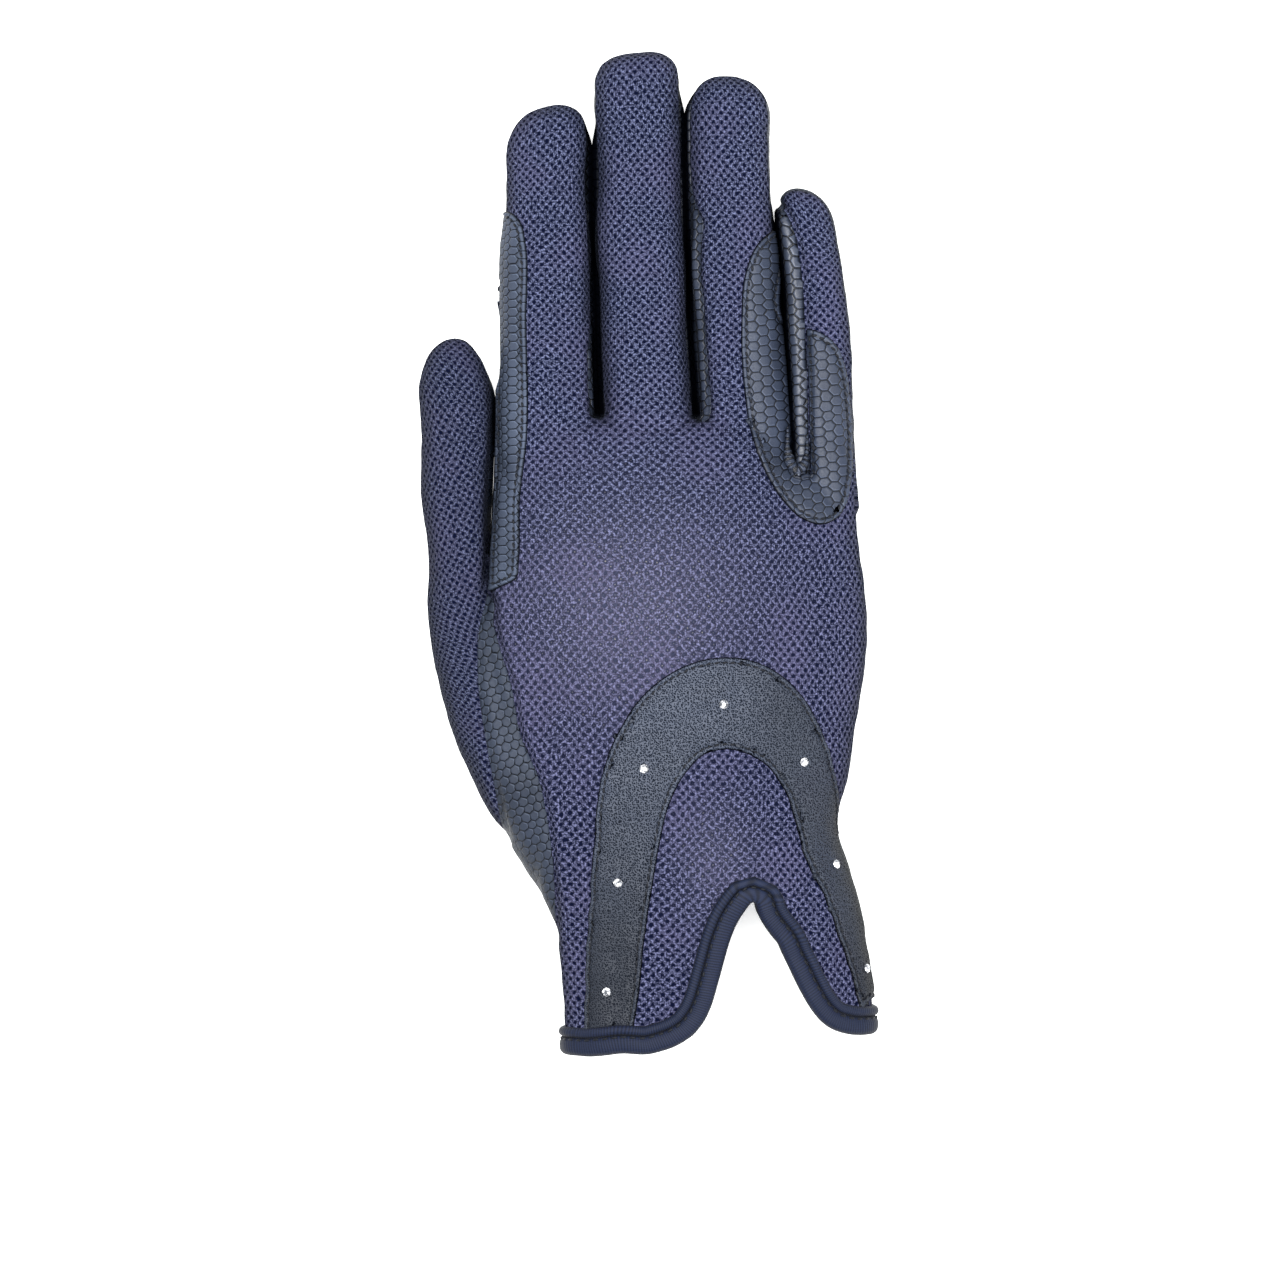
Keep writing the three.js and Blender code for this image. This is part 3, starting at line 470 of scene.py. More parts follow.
def shade_in_gaps(co):
    """Painted shade: how deep in a gap between two fingers, or in the thumb's fold, each point lies."""
    x, y, z = co.T
    deep = np.zeros(len(co))
    for k, (line, wide, low) in enumerate(zip(gap_lines(y), (1.65, 1.4, 1.35), (11.5, 10.5, 8.5))):
        fork, *tips = gap_ends(k)
        off = np.abs(x - line)
        near = np.maximum(smooth((wide - off) / 0.55), smooth((low - z) / 2.5) * (off < 9))
        deep = np.maximum(deep, near * smooth((y - fork + 1) / 2) * smooth((min(tips) - y) / 5))
    fold = smooth((1.9 - np.abs(thumb_field(co))) / 1.3) * smooth((y - 46) / 12) * smooth((154 - y) / 6)
    return np.maximum(deep, 0.85 * fold * smooth((16 - z) / 3))


def seam_height(co):
    """Height of the seam between back and palm, higher where a strip shows in a gap."""
    x, y = co[:, 0], co[:, 1]
    side = 13.34 - 4.69 * np.clip(y / GLOVE_LENGTH, 0, 1)
    height = side.copy()
    # At the left and at the right of each gap.
    heights = (
        (9.8 + 3.4 * smooth((168 - y) / 12), 9.4),
        (9.4, 9.6 + 5.6 * smooth((196 - y) / 10)),
        (10.5, 11.0),
    )
    for k, line in enumerate(gap_lines(y)):
        fork, left, right = gap_ends(k)
        top = np.where(x < line, left, right)
        reach = np.minimum(smooth((x - line + 11) / 5), smooth((line + 11 - x) / 5))
        reach = reach * smooth((y - (fork - 8)) / 4) * smooth((top - 2 - y) / 8)
        height = height + (np.where(x < line, *heights[k]) - side) * reach
    return height


def roll_distance(co):
    """How far right of the little finger's rolled seam a point lies."""
    far = (co[:, 1] < 128) | (finger_zone(co) < 3)
    return np.where(far, 50.0, co[:, 0] - spline(*np.array(ROLL_SEAM).T, co[:, 1]))


def back_field(co):
    """Positive on the mesh cloth of the back."""
    aside, up = drawn(LEATHER_EDGE).T
    strip = co[:, 0] - spline(up, aside, co[:, 1])
    return np.minimum.reduce([co[:, 2] - seam_height(co), strip, roll_distance(co)])


def gusset_field(co, gap):
    """Positive on the leather strip in one of the three gaps, below the back's seam."""
    x, y, z = co.T
    line = gap_lines(y)[gap]
    fork, left, right = gap_ends(gap)
    tip = np.where(x < line, left, right) - 6.5
    foot = 6.09 - 1.0 * np.clip(y / GLOVE_LENGTH, 0, 1)
    return np.minimum.reduce([y - (fork - 7), tip - y, z - foot, x - line + 10, line + 9 - x, -back_field(co)])


def thumb_field(co):
    """Positive on the thumb."""
    return np.minimum(spline(*np.array(THUMB_SEAM).T, co[:, 1]) - co[:, 0], 172 - co[:, 1])


def thumb_chart(co, turned=True):
    """The thumb cloth's coordinates, with the cloth turned at its root."""
    chart = TUBES["thumb"].unrolled(co, turned)
    if not turned:
        return chart
    lean = np.radians(30) * smooth((62 - chart[:, 1]) / 50)
    c, s = np.cos(lean), np.sin(lean)
    across, along = chart[:, 0] * 0.98, chart[:, 1] * 0.93
    return np.column_stack([across * c - along * s, across * s + along * c])


CUFF_PATH = spline_path(CUFF_EDGE, 0.8)
CUFF_OUTLINE = np.vstack([[(-200, CUFF_PATH[0, 1])], CUFF_PATH, [(200, CUFF_PATH[-1, 1])], [(200, 500)], [(-200, 500)]])


def above_cuff(co):
    return inside_outline(co[:, :2], CUFF_OUTLINE)


# ---------------------------------------------------------------- meshes


def wrapped(surface, around, along):
    """A grid laid on a surface, with its edges sewn together where they meet."""
    bm = bmesh.new()
    bmesh.ops.create_grid(bm, x_segments=around, y_segments=along, size=1)
    share = np.array([v.co[:2] for v in bm.verts]) / 2 + 0.5
    for vert, place in zip(bm.verts, surface(share[:, 0], share[:, 1])):
        vert.co = place
    bmesh.ops.remove_doubles(bm, verts=bm.verts[:], dist=0.002)
    bmesh.ops.holes_fill(bm, edges=[e for e in bm.edges if e.is_boundary], sides=0)
    bmesh.ops.recalc_face_normals(bm, faces=bm.faces[:])
    return bm


def coordinates(bm):
    return np.array([v.co for v in bm.verts])


def put(bm, co):
    for vert, place in zip(bm.verts, co):
        vert.co = place


def joined(bm):
    """The pairs of points that share an edge."""
    return np.array([(e.verts[0].index, e.verts[1].index) for e in bm.edges])


def neighbours(rows, edges):
    """The sum of each point's neighbours."""
    a, b = edges.T
    return np.stack([np.bincount(a, row[b], len(rows)) + np.bincount(b, row[a], len(rows)) for row in rows.T], 1)


def evened(co, edges, pull):
    """Each point drawn towards the middle of its neighbours."""
    count = np.maximum(np.bincount(edges.ravel(), minlength=len(co)), 1)[:, None]
    return co + pull * (neighbours(co, edges) / count - co)


def ripple(co, scale, seed):
    """Soft random swells between -1 and 1."""
    rng = np.random.default_rng(seed)
    total = np.zeros(len(co))
    for _ in range(7):
        way = rng.normal(size=3)
        way /= np.linalg.norm(way)
        total += np.sin(co @ way * (2 * np.pi / scale) * rng.uniform(0.7, 1.5) + rng.uniform(0, 6.3))
    return total / 4


def vertex_normals(bm):
    bm.normal_update()
    return np.array([v.normal for v in bm.verts])


FORMS = {}  # skins and search trees that the pieces share
SLACK = 0.5  # the form is joined this much thinner, so that neighbouring fingers stay apart
HEM = 1.5  # how far inside the cuff's edge the skin ends, under the tape
OUTSIDE = -50
LOOP_STEP = 0.3
STITCH_LIFT = 0.2
STITCH_LINE = 1.15  # how far inside a patch's edge its stitches run
EDGE_AT = [-0.1, 0.0, 0.3, 0.75, STITCH_LINE, 1.6, 2.6, 40]
EDGE_HEIGHT = [0.1, 0.25, 0.95, 1.0, 0.62, 0.92, 1.02, 1.0]


def fused_tubes(size):
    """The hand, fingers and thumb joined to one skin of even faces."""
    bm = bmesh.new()
    for name, around, along in (("hand", 96, 90), *((finger, 56, 70) for finger in FINGERS), ("thumb", 64, 90)):
        part = wrapped(TUBES[name].surface, around, along)
        put(part, coordinates(part) - vertex_normals(part) * SLACK)
        mesh = bpy.data.meshes.new("part")
        part.to_mesh(mesh)
        bm.from_mesh(mesh)
        bpy.data.meshes.remove(mesh)
        part.free()
    mesh = bpy.data.meshes.new("form")
    bm.to_mesh(mesh)
    bm.free()
    body = bpy.data.objects.new("form", mesh)
    bpy.context.scene.collection.objects.link(body)
    remesh = body.modifiers.new("voxels", "REMESH")
    remesh.mode = "VOXEL"
    remesh.voxel_size = size
    bpy.context.view_layer.update()
    fine = bpy.data.meshes.new_from_object(body.evaluated_get(bpy.context.evaluated_depsgraph_get()))
    bpy.data.objects.remove(body)
    bpy.data.meshes.remove(mesh)
    bm = bmesh.new()
    bm.from_mesh(fine)
    bpy.data.meshes.remove(fine)
    return bm


def hand_form(cut):
    """The glove's closed skin, with its seams pressed in."""
    if "hand" in FORMS:
        return FORMS["hand"].copy()
    bm = fused_tubes(cut.detail * MM)
    co, edges = coordinates(bm), joined(bm)
    # Drawing in and letting out by turns evens out a surface without shrinking it.
    for pull in (0.5, -0.53) * 12:
        co = evened(co, edges, pull)
    near_fork = np.zeros(len(co))
    for k, line in enumerate(gap_lines(co[:, 1])):
        fork = HAND_LENGTH - (8.5 if k == 2 else 1.5)
        near_fork = np.maximum(near_fork, smooth(1 - np.hypot(co[:, 0] - line, co[:, 1] - fork) / 13))
    near_fork *= smooth((co[:, 2] - 8) / 6)
    for _ in range(14):
        co = evened(co, edges, 0.5 * near_fork[:, None])
    put(bm, co)
    co = co + vertex_normals(bm) * SLACK
    put(bm, co)
    normal = vertex_normals(bm)
    back, thumb, roll = back_field(co), thumb_field(co), roll_distance(co)
    seams = np.where(thumb > 0, co[:, 2] - THUMB_SIDE_SEAM, back)
    push = -cut.seam * MM * np.exp(-(seams / 0.9)**2) + 0.25 * np.exp(-((np.abs(seams) - 2.2) / 1.2)**2)
    push -= 1.0 * np.exp(-(thumb / 1.1)**2) * smooth((co[:, 2] - 6) / 4)
    push -= 0.7 * np.exp(-(roll / 0.8)**2)
    push += 0.9 * np.where(roll < 0, smooth(-roll / 1.6) * smooth((8 + roll) / 4), 0)
    push *= smooth(above_cuff(co) / 6)
    push += 0.3 * ripple(co, 26, 3) + 0.12 * ripple(co, 9, 5) + 0.05 * ripple(co, 3.2, 8)
    co = co + normal * push[:, None]
    # Deep in the gaps the fingers lean on each other, and the thumb leans on the hand.
    x, y, z = co.T
    for k, line in enumerate(gap_lines(y)):
        fork, *tips = gap_ends(k)
        off = x - line
        share = (smooth((5.5 - np.abs(off)) / 2.2) * smooth((z - 1.2) / 3) * smooth((10.8 - z) / 3.5)
                 * smooth((y - fork + 5) / 5) * smooth((min(tips) - 3 - y) / 7))
        co[:, 0] += (-np.sign(off) * 0.12 - off) * share
    off = -thumb
    share = (smooth((5.0 - np.abs(off)) / 2.0) * smooth((z - 1.2) / 3) * smooth((12.5 - z) / 3.5)
             * smooth((y - 104) / 6) * smooth((152 - y) / 7))
    co[:, 0] += (np.sign(off) * 0.12 - off) * share
    co[:, 2] = np.where(z < 0.4, 0.02 + 0.38 * np.exp((z - 0.4) / 0.6), z)
    put(bm, co)
    bm.normal_update()
    FORMS["hand"] = bm
    FORMS["hand_tree"] = BVHTree.FromBMesh(bm)
    return bm.copy()


def cut_at(bm, layer, level):
    """New points and edges where the layer's value passes a level."""
    cut = []
    for vert in bm.verts:
        if abs(vert[layer] - level) < 0.03:
            vert[layer] = level
            cut.append(vert)
    crossing = [e for e in bm.edges if (e.verts[0][layer] - level) * (e.verts[1][layer] - level) < 0]
    for edge in crossing:
        first, last = edge.verts
        share = (level - first[layer]) / (last[layer] - first[layer])
        new = bmesh.utils.edge_split(edge, first, share)[1]
        new[layer] = level
        cut.append(new)
    bmesh.ops.connect_verts(bm, verts=cut)


def trimmed(bm, field, levels=(0.0,)):
    """The part of a sheet where the field is above the first level, with edges along the others."""
    layer = bm.verts.layers.float.get("inside") or bm.verts.layers.float.new("inside")
    for vert, value in zip(bm.verts, field(coordinates(bm))):
        vert[layer] = value
    first = levels[0]
    away = [f for f in bm.faces if max(v[layer] for v in f.verts) < first - 1.5]
    bmesh.ops.delete(bm, geom=away, context="FACES")
    for level in levels:
        cut_at(bm, layer, level)
    away = [f for f in bm.faces if sum(v[layer] for v in f.verts) / len(f.verts) < first]
    bmesh.ops.delete(bm, geom=away, context="FACES")
    bmesh.ops.triangulate(bm, faces=[f for f in bm.faces if len(f.verts) > 4])
    bm.verts.index_update()
    return layer


def islands(bm):
    """Groups of joined faces, the largest first."""
    left = set(bm.faces)
    found = []
    while left:
        stack = [left.pop()]
        group = []
        while stack:
            face = stack.pop()
            group.append(face)
            for edge in face.edges:
                for other in edge.link_faces:
                    if other in left:
                        left.remove(other)
                        stack.append(other)
        found.append(group)
    return sorted(found, key=len, reverse=True)


def without_crumbs(bm, smallest):
    for group in islands(bm):
        if len(group) < smallest:
            bmesh.ops.delete(bm, geom=group, context="FACES")


def level_chains(bm, layer, level):
    """Ordered runs of points along one level of the layer, with the surface normal at each."""
    links = {}
    for edge in bm.edges:
        if len(edge.link_faces) != 2 or any(abs(v[layer] - level) > 1e-4 for v in edge.verts):
            continue
        sides = [sum(v[layer] for v in face.verts) / len(face.verts) - level for face in edge.link_faces]
        if sides[0] * sides[1] < 0:
            a, b = edge.verts
            links.setdefault(a, []).append(b)
            links.setdefault(b, []).append(a)
    chains = []
    seen = set()
    for start in sorted(links, key=lambda v: (len(links[v]) != 1, v.index)):
        if start in seen:
            continue
        chain = [start]
        seen.add(start)
        while True:
            onward = [v for v in links[chain[-1]] if v not in seen]
            if not onward:
                break
            chain.append(onward[0])
            seen.add(onward[0])
        if len(chain) > 2 and chain[0] in links[chain[-1]]:
            chain.append(chain[0])
        run = np.array([v.co for v in chain])
        if np.linalg.norm(np.diff(run, axis=0), axis=1).sum() > 8:
            chains.append((list(run), [np.array(v.normal) for v in chain]))
    return chains


def as_piece(bm, name, material, nodes, slot, chart=None, values=None, wall=0.0, flat=False):
    """A finished object from a sheet in millimetres."""
    bm.verts.index_update()
    put(bm, (coordinates(bm) - ORIGIN) * 0.001)
    mesh = bpy.data.meshes.new(name)
    bm.to_mesh(mesh)
    bm.free()
    corner = np.empty(len(mesh.loops), int)
    mesh.loops.foreach_get("vertex_index", corner)
    if chart is not None:
        layer = mesh.uv_layers.new(name="cloth")
        layer.data.foreach_set("uv", (chart[corner] * 0.001).astype(np.float32).ravel())
    for key, value in (values or {}).items():
        mesh.attributes.new(key, "FLOAT", "POINT").data.foreach_set("value", np.asarray(value, np.float32))
    mesh.polygons.foreach_set("use_smooth", [not flat] * len(mesh.polygons))
    mesh.materials.append(material)
    piece = bpy.data.objects.new(name, mesh)
    bpy.context.scene.collection.objects.link(piece)
    if wall:
        solid = piece.modifiers.new("wall", "SOLIDIFY")
        solid.thickness = wall * 0.001
        solid.offset = -1
        solid.use_quality_normals = True
    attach(piece, "root")
    if nodes:
        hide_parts(*nodes)
    return piece


def stitch_row(bm, chain, pitch, length, thick, skew, lowest):
    """Small capsules of thread along a line, where it faces up enough."""
    points, normals = np.array(chain[0]), np.array(chain[1])
    travel = travelled(points)
    if travel[-1] < pitch * 2:
        return
    count = int(travel[-1] / pitch)
    rng = np.random.default_rng(int(travel[-1] * 10))
    at = lambda d, rows: Vector([np.interp(np.clip(d, 0, travel[-1]), travel, column) for column in rows.T])
    lying = Matrix.Rotation(math.pi / 2, 4, "Y")
    for i in range(count):
        middle = (i + 0.5) * travel[-1] / count
        along = at(middle + 0.45, points) - at(middle - 0.45, points)
        if along.length < 1e-3:
            continue
        along.normalize()
        up = at(middle, normals).normalized()
        if up.z < lowest:
            continue
        side = up.cross(along).normalized()
        up = along.cross(side)
        turn = Matrix((along, side, up)).transposed().to_4x4()
        lean = Matrix.Rotation(skew + rng.uniform(-0.06, 0.06), 4, "Z")
        size = Matrix.Diagonal((length / 2 * rng.uniform(0.92, 1.08), thick / 2, thick / 2 * 0.85, 1))
        place = Matrix.Translation(at(middle, points) + up * STITCH_LIFT)
        bmesh.ops.create_uvsphere(bm, u_segments=8, v_segments=6, radius=1, matrix=place @ turn @ lean @ size @ lying)


# ---------------------------------------------------------------- finishes


class Finish:
    """A short way to write a material's nodes."""

    def __init__(self, name, base, roughness, **sockets):
        self.material = bpy.data.materials.get(name) or bpy.data.materials.new(name)
        self.material.use_nodes = True
        self.tree = self.material.node_tree
        self.tree.nodes.clear()
        self.surface = self.tree.nodes.new("ShaderNodeBsdfPrincipled")
        out = self.tree.nodes.new("ShaderNodeOutputMaterial")
        self.tree.links.new(self.surface.outputs[0], out.inputs["Surface"])
        self.set("Base Color", base)
        self.set("Roughness", roughness)
        for socket, value in sockets.items():
            self.set(socket.replace("_", " "), value)

    def set(self, socket, value):
        self.join(self.surface.inputs[socket], value)

    def join(self, socket, value):
        if isinstance(value, bpy.types.NodeSocket):
            self.tree.links.new(value, socket)
        elif hasattr(socket.default_value, "__len__") and len(socket.default_value) == 4 and len(value) == 3:
            socket.default_value = (*value, 1)
        else:
            socket.default_value = value

    def node(self, kind, output=0, values=(), **options):
        node = self.tree.nodes.new(kind)
        for key, value in options.items():
            setattr(node, key, value)
        for key, value in dict(values).items():
            self.join(node.inputs[key], value)
        return node.outputs[output]

    def math(self, operation, *values):
        return self.node("ShaderNodeMath", values=enumerate(values), operation=operation)

    def add(self, a, b):
        return self.math("ADD", a, b)

    def sub(self, a, b):
        return self.math("SUBTRACT", a, b)

    def mul(self, a, b):
        return self.math("MULTIPLY", a, b)

    def swing(self, noise, far):
        """A noise that reaches to both sides of zero."""
        return self.mul(self.sub(noise, 0.5), far)

    def soft(self, value, low, high, start=0.0, end=1.0):
        given = zip(("Value", "From Min", "From Max", "To Min", "To Max"), (value, low, high, start, end))
        return self.node("ShaderNodeMapRange", values=given, interpolation_type="SMOOTHSTEP")

    def mix(self, share, a, b, **options):
        return self.node("ShaderNodeMix", 2, {"Factor": share, 6: a, 7: b}, data_type="RGBA", **options)

    def chart(self):
        """The cloth's own coordinates, in millimetres."""
        split = self.tree.nodes.new("ShaderNodeSeparateXYZ")
        self.join(split.inputs[0], self.node("ShaderNodeUVMap", uv_map="cloth"))
        return self.mul(split.outputs[0], MM), self.mul(split.outputs[1], MM)

    def vector(self, x, y, z=0.0):
        return self.node("ShaderNodeCombineXYZ", values={0: x, 1: y, 2: z})

    def noise(self, vector, scale, detail=2.0, rough=0.5):
        given = {"Vector": vector, "Scale": scale, "Detail": detail, "Roughness": rough}
        return self.node("ShaderNodeTexNoise", values=given)

    def place(self):
        return self.node("ShaderNodeTexCoord", output=3)

    def bump(self, height, distance, strength, **under):
        given = {"Height": height, "Distance": distance, "Strength": strength, **under}
        self.set("Normal", self.node("ShaderNodeBump", values=given))

    def value(self, name):
        return self.node("ShaderNodeAttribute", output=2, attribute_name=name)

    def shaded(self, colour, gloss, turned=0.6):
        """The finished colour and gloss, with painted shade: darker and less glossy deep in the gaps and where the
        piece turns away from the view.
        """
        facing = self.node("ShaderNodeLayerWeight", output=1, values={"Blend": 0.5})
        # Painted shade: the deep value darkens the gaps and the thumb's fold, and the facing weight darkens what turns
        # away from the view, up to the turned share.
        dark = self.math("MAXIMUM", self.value("deep"), self.soft(facing, 0.12, 0.75, 0.0, turned))
        self.set("Base Color", self.mix(dark, colour, (0.0008, 0.001, 0.002)))
        self.set("Specular IOR Level", self.mul(gloss, self.sub(1.0, dark)))


def mesh_cloth(finish, name="mesh cloth", tone=1.0):
    """Open knit: half-offset rows of small holes between knotted yarn, with painted light on the yarn and painted shade
    in the holes.
    """
    f = Finish(name, finish.yarn, 0.8, Sheen_Weight=0.015, Sheen_Roughness=0.4, Sheen_Tint=(0.6, 0.7, 1.0))
    u0, v0 = f.chart()
    u = f.add(u0, f.swing(f.noise(f.vector(u0, v0), 0.2), 1.3))
    v = f.add(v0, f.swing(f.noise(f.vector(v0, u0, 7.0), 0.2), 1.3))
    p = f.mul(u, 1 / (finish.hole_pitch * MM))
    q = f.mul(v, 0.5 / (finish.row_pitch * MM))
    # Where a point lies from the middle of its hole.
    a, b = (f.sub(f.math("FRACT", f.add(way, 0.5)), 0.5) for way in (f.add(p, q), f.sub(p, q)))
    across = f.mul(f.mul(f.add(a, b), 0.5), 1 / 0.225)
    along = f.mul(f.mul(f.sub(a, b), 0.5), 1 / 0.215)
    far = f.math("SQRT", f.add(f.math("POWER", across, 2.0), f.math("POWER", along, 2.0)))
    grain = f.noise(f.vector(f.mul(u, 2.4), f.mul(v, 2.0)), 1.0, 3.0, 0.65)
    loose = f.noise(f.vector(f.mul(u, 0.55), f.mul(v, 0.8)), 1.0)
    far = f.add(far, f.add(f.swing(grain, 1.5), f.swing(loose, 0.8)))
    wall = f.soft(far, 0.52, 1.3)
    # Painted light: the yarn is painted paler along its strands, away from the holes and at painted glints, and near
    # black between them; the grain adds the yarn's own flecks.
    strands = f.math("SINE", f.mul(f.add(p, f.swing(grain, 0.15)), 2 * math.pi * 4))
    turns = f.math("SINE", f.mul(f.add(q, f.mul(p, 0.5)), 2 * math.pi * 2))
    yarn = f.add(f.mul(strands, 0.5), f.mul(turns, 0.3))
    painted_glint = f.noise(f.vector(f.mul(v, 2.9), f.mul(u, 2.3), 5.0), 1.0, 2.0, 0.6)
    light = f.add(f.add(f.mul(yarn, 0.12), f.mul(far, 0.12)), f.add(f.swing(grain, 1.6), f.swing(painted_glint, 2.6)))
    pale = times(finish.yarn, tone)
    dark = tuple(c * k for c, k in zip(pale, (0.05, 0.07, 0.13)))
    colour = f.mix(f.soft(light, -0.12, 0.94), dark, times(pale, 1.5))
    # The back is a little redder towards the cuff.
    redder = f.mix(1.0, colour, (1.0, 0.93, 0.96), blend_type="MULTIPLY")
    colour = f.mix(f.soft(v0, 150.0, 105.0, 0.0, 1.0 if tone == 1.0 else 0.0), colour, redder)
    patchy = f.soft(f.noise(f.place(), 55.0, 3.0), 0.4, 0.7, 0.0, 0.3)
    colour = f.mix(patchy, colour, (pale[0] * 0.75, pale[1] * 0.6, pale[2] * 0.7))
    # Where the cloth is drawn tight it is paler, and the lining shows in some of its holes.
    tight = f.value("stretched")
    colour = f.mix(f.mul(tight, 0.13), colour, (0.16, 0.14, 0.19))
    seen = f.mul(tight, f.soft(f.noise(f.vector(u, v, 3.0), 0.9), 0.35, 0.65))
    # The holes are painted near black: painted shade of the glove's inside seen through them, paler where the cloth is
    # drawn tight.
    hole = f.mix(f.mul(tight, 0.75), tuple(finish.hole), times(pale, 0.42))
    hole = f.mix(f.mul(f.soft(far, 0.4, -0.1), seen), hole, (0.17, 0.16, 0.15))
    f.shaded(f.mix(wall, hole, colour), f.mul(wall, 0.12))
    f.bump(f.add(f.mul(wall, 0.8), f.mul(f.mul(yarn, 0.25), wall)), 0.0004, 0.8)
    return f.material


def seam_shade(f, colour, deep):
    """Painted shade along a patch's cut edge and in its stitch line, with a painted highlight on the raised lip between
    them.
    """
    inside = f.value("inside")
    # Painted shade at the cut edge and in the stitch groove, in the colour deep.
    edge = f.soft(inside, 0.05, 0.4, 0.95, 0.0)
    line = f.soft(f.math("ABSOLUTE", f.sub(inside, STITCH_LINE)), 0.05, 0.34, 0.4, 0.0)
    # Painted highlight on the raised lip.
    lip_highlight = f.mul(f.soft(inside, 0.3, 0.5, 0.0, 0.13), f.soft(inside, 1.05, 0.85))
    return f.mix(f.math("MAXIMUM", edge, line), f.mix(lip_highlight, colour, times(deep, 22)), deep)


def embossed_leather(finish, name="embossed leather", squash=1.0, tone=1.0, edged=False, puffy=1.0,
                     painted_lee_strength=0.25, gloss=0.26, scales=False, turned=0.6):
    """Leather pressed in six-sided cells with a groove between them, with painted highlights and painted shade on the
    cells and in the grooves.
    """
    f = Finish(name, finish.leather, 0.5)
    u, v = f.chart()
    cell = finish.cell * MM
    u = f.mul(f.add(u, f.swing(f.noise(f.vector(u, v), 0.3), 1.3)), 1 / (cell * 0.94))
    v = f.mul(f.add(v, f.swing(f.noise(f.vector(v, u, 4.0), 0.3), 1.3)), 1 / (cell * squash))

    # Two rectangular grids of cell middles, one shifted by half a step each way.
    def to_grid(shift):
        x = f.sub(f.math("FRACT", f.add(f.mul(u, 0.5), 0.5 + shift)), 0.5)
        y = f.sub(f.math("FRACT", f.add(v, 0.5 + shift)), 0.5)
        return f.mul(x, 1.732), y

    def reach(x, y):
        x, y = f.math("ABSOLUTE", x), f.math("ABSOLUTE", y)
        return f.math("MAXIMUM", y, f.add(f.mul(x, 0.866), f.mul(y, 0.5)))

    def nearer(one, other):
        return f.add(f.mul(first, one), f.mul(f.sub(1.0, first), other))

    (x1, y1), (x2, y2) = to_grid(0.0), to_grid(0.5)
    r1, r2 = reach(x1, y1), reach(x2, y2)
    rim = f.sub(0.5, f.math("MINIMUM", r1, r2))
    # Which way a point lies from its cell's middle, for the painted light. Scales get a painted highlight at the upper
    # right and painted shade at the lower right, plain cells a painted highlight at the lower left and painted shade
    # opposite.
    first = f.math("LESS_THAN", r1, r2)
    tilt = nearer(f.add(x1, y1), f.add(x2, y2))
    fall = nearer(f.sub(x1, y1), f.sub(x2, y2))
    # Painted shade: the grooves between the cells are painted near black, and for scales paler on one side; the grooves
    # also shape the bump.
    groove = f.soft(rim, 0.008, 0.08)
    if scales:
        groove = f.math("MAXIMUM", groove, f.soft(fall, 0.1, -0.25, 0.0, 0.7))
        lit, shade, dark, tint = f.soft(tilt, 0.1, 0.45), f.soft(rim, 0.15, 0.05), 0.1, (1.07, 1.0, 0.88)
    else:
        lit, shade, dark, tint = f.soft(tilt, 0.05, -0.4), f.soft(rim, 0.24, 0.05), 0.2, (1.0, 1.0, 1.0)
    base = tuple(c * tone * t for c, t in zip(finish.leather, tint))
    colour = f.mix(f.soft(f.noise(f.place(), 70.0, 3.0), 0.3, 0.7), times(base, 0.82), times(base, 1.18))
    # Painted highlight on the cells' rims on the lit side.
    painted_rim_highlight = f.mul(f.mul(f.soft(rim, 0.03, 0.07), f.soft(rim, 0.16, 0.09)), lit)
    colour = f.mix(f.mul(painted_rim_highlight, 0.6), colour, tuple(c * 2.6 + 0.006 for c in base))
    # Painted shade on the cells' rims on the side away from the light.
    lee_shade = f.mul(shade, f.soft(fall if scales else tilt, -0.05, 0.4))
    colour = f.mix(f.mul(lee_shade, painted_lee_strength), colour, times(base, dark))
    # The grooves' painted shade.
    colour = f.mix(groove, times(base, 0.12), colour)
    if edged:
        colour = seam_shade(f, colour, times(base, 0.12))
    f.shaded(colour, gloss, turned)
    grain = f.noise(f.place(), 2600.0, 3.0, 0.6)
    f.set("Roughness", f.soft(grain, 0.3, 0.7, 0.42, 0.6))
    under = f.node("ShaderNodeBump", values={"Height": grain, "Distance": 0.00005, "Strength": 0.5})
    height = f.add(f.mul(groove, 0.75), f.mul(f.soft(rim, 0.0, 0.2), 0.25))
    f.bump(height, 0.00025 * puffy, 0.9, Normal=under)
    return f.material


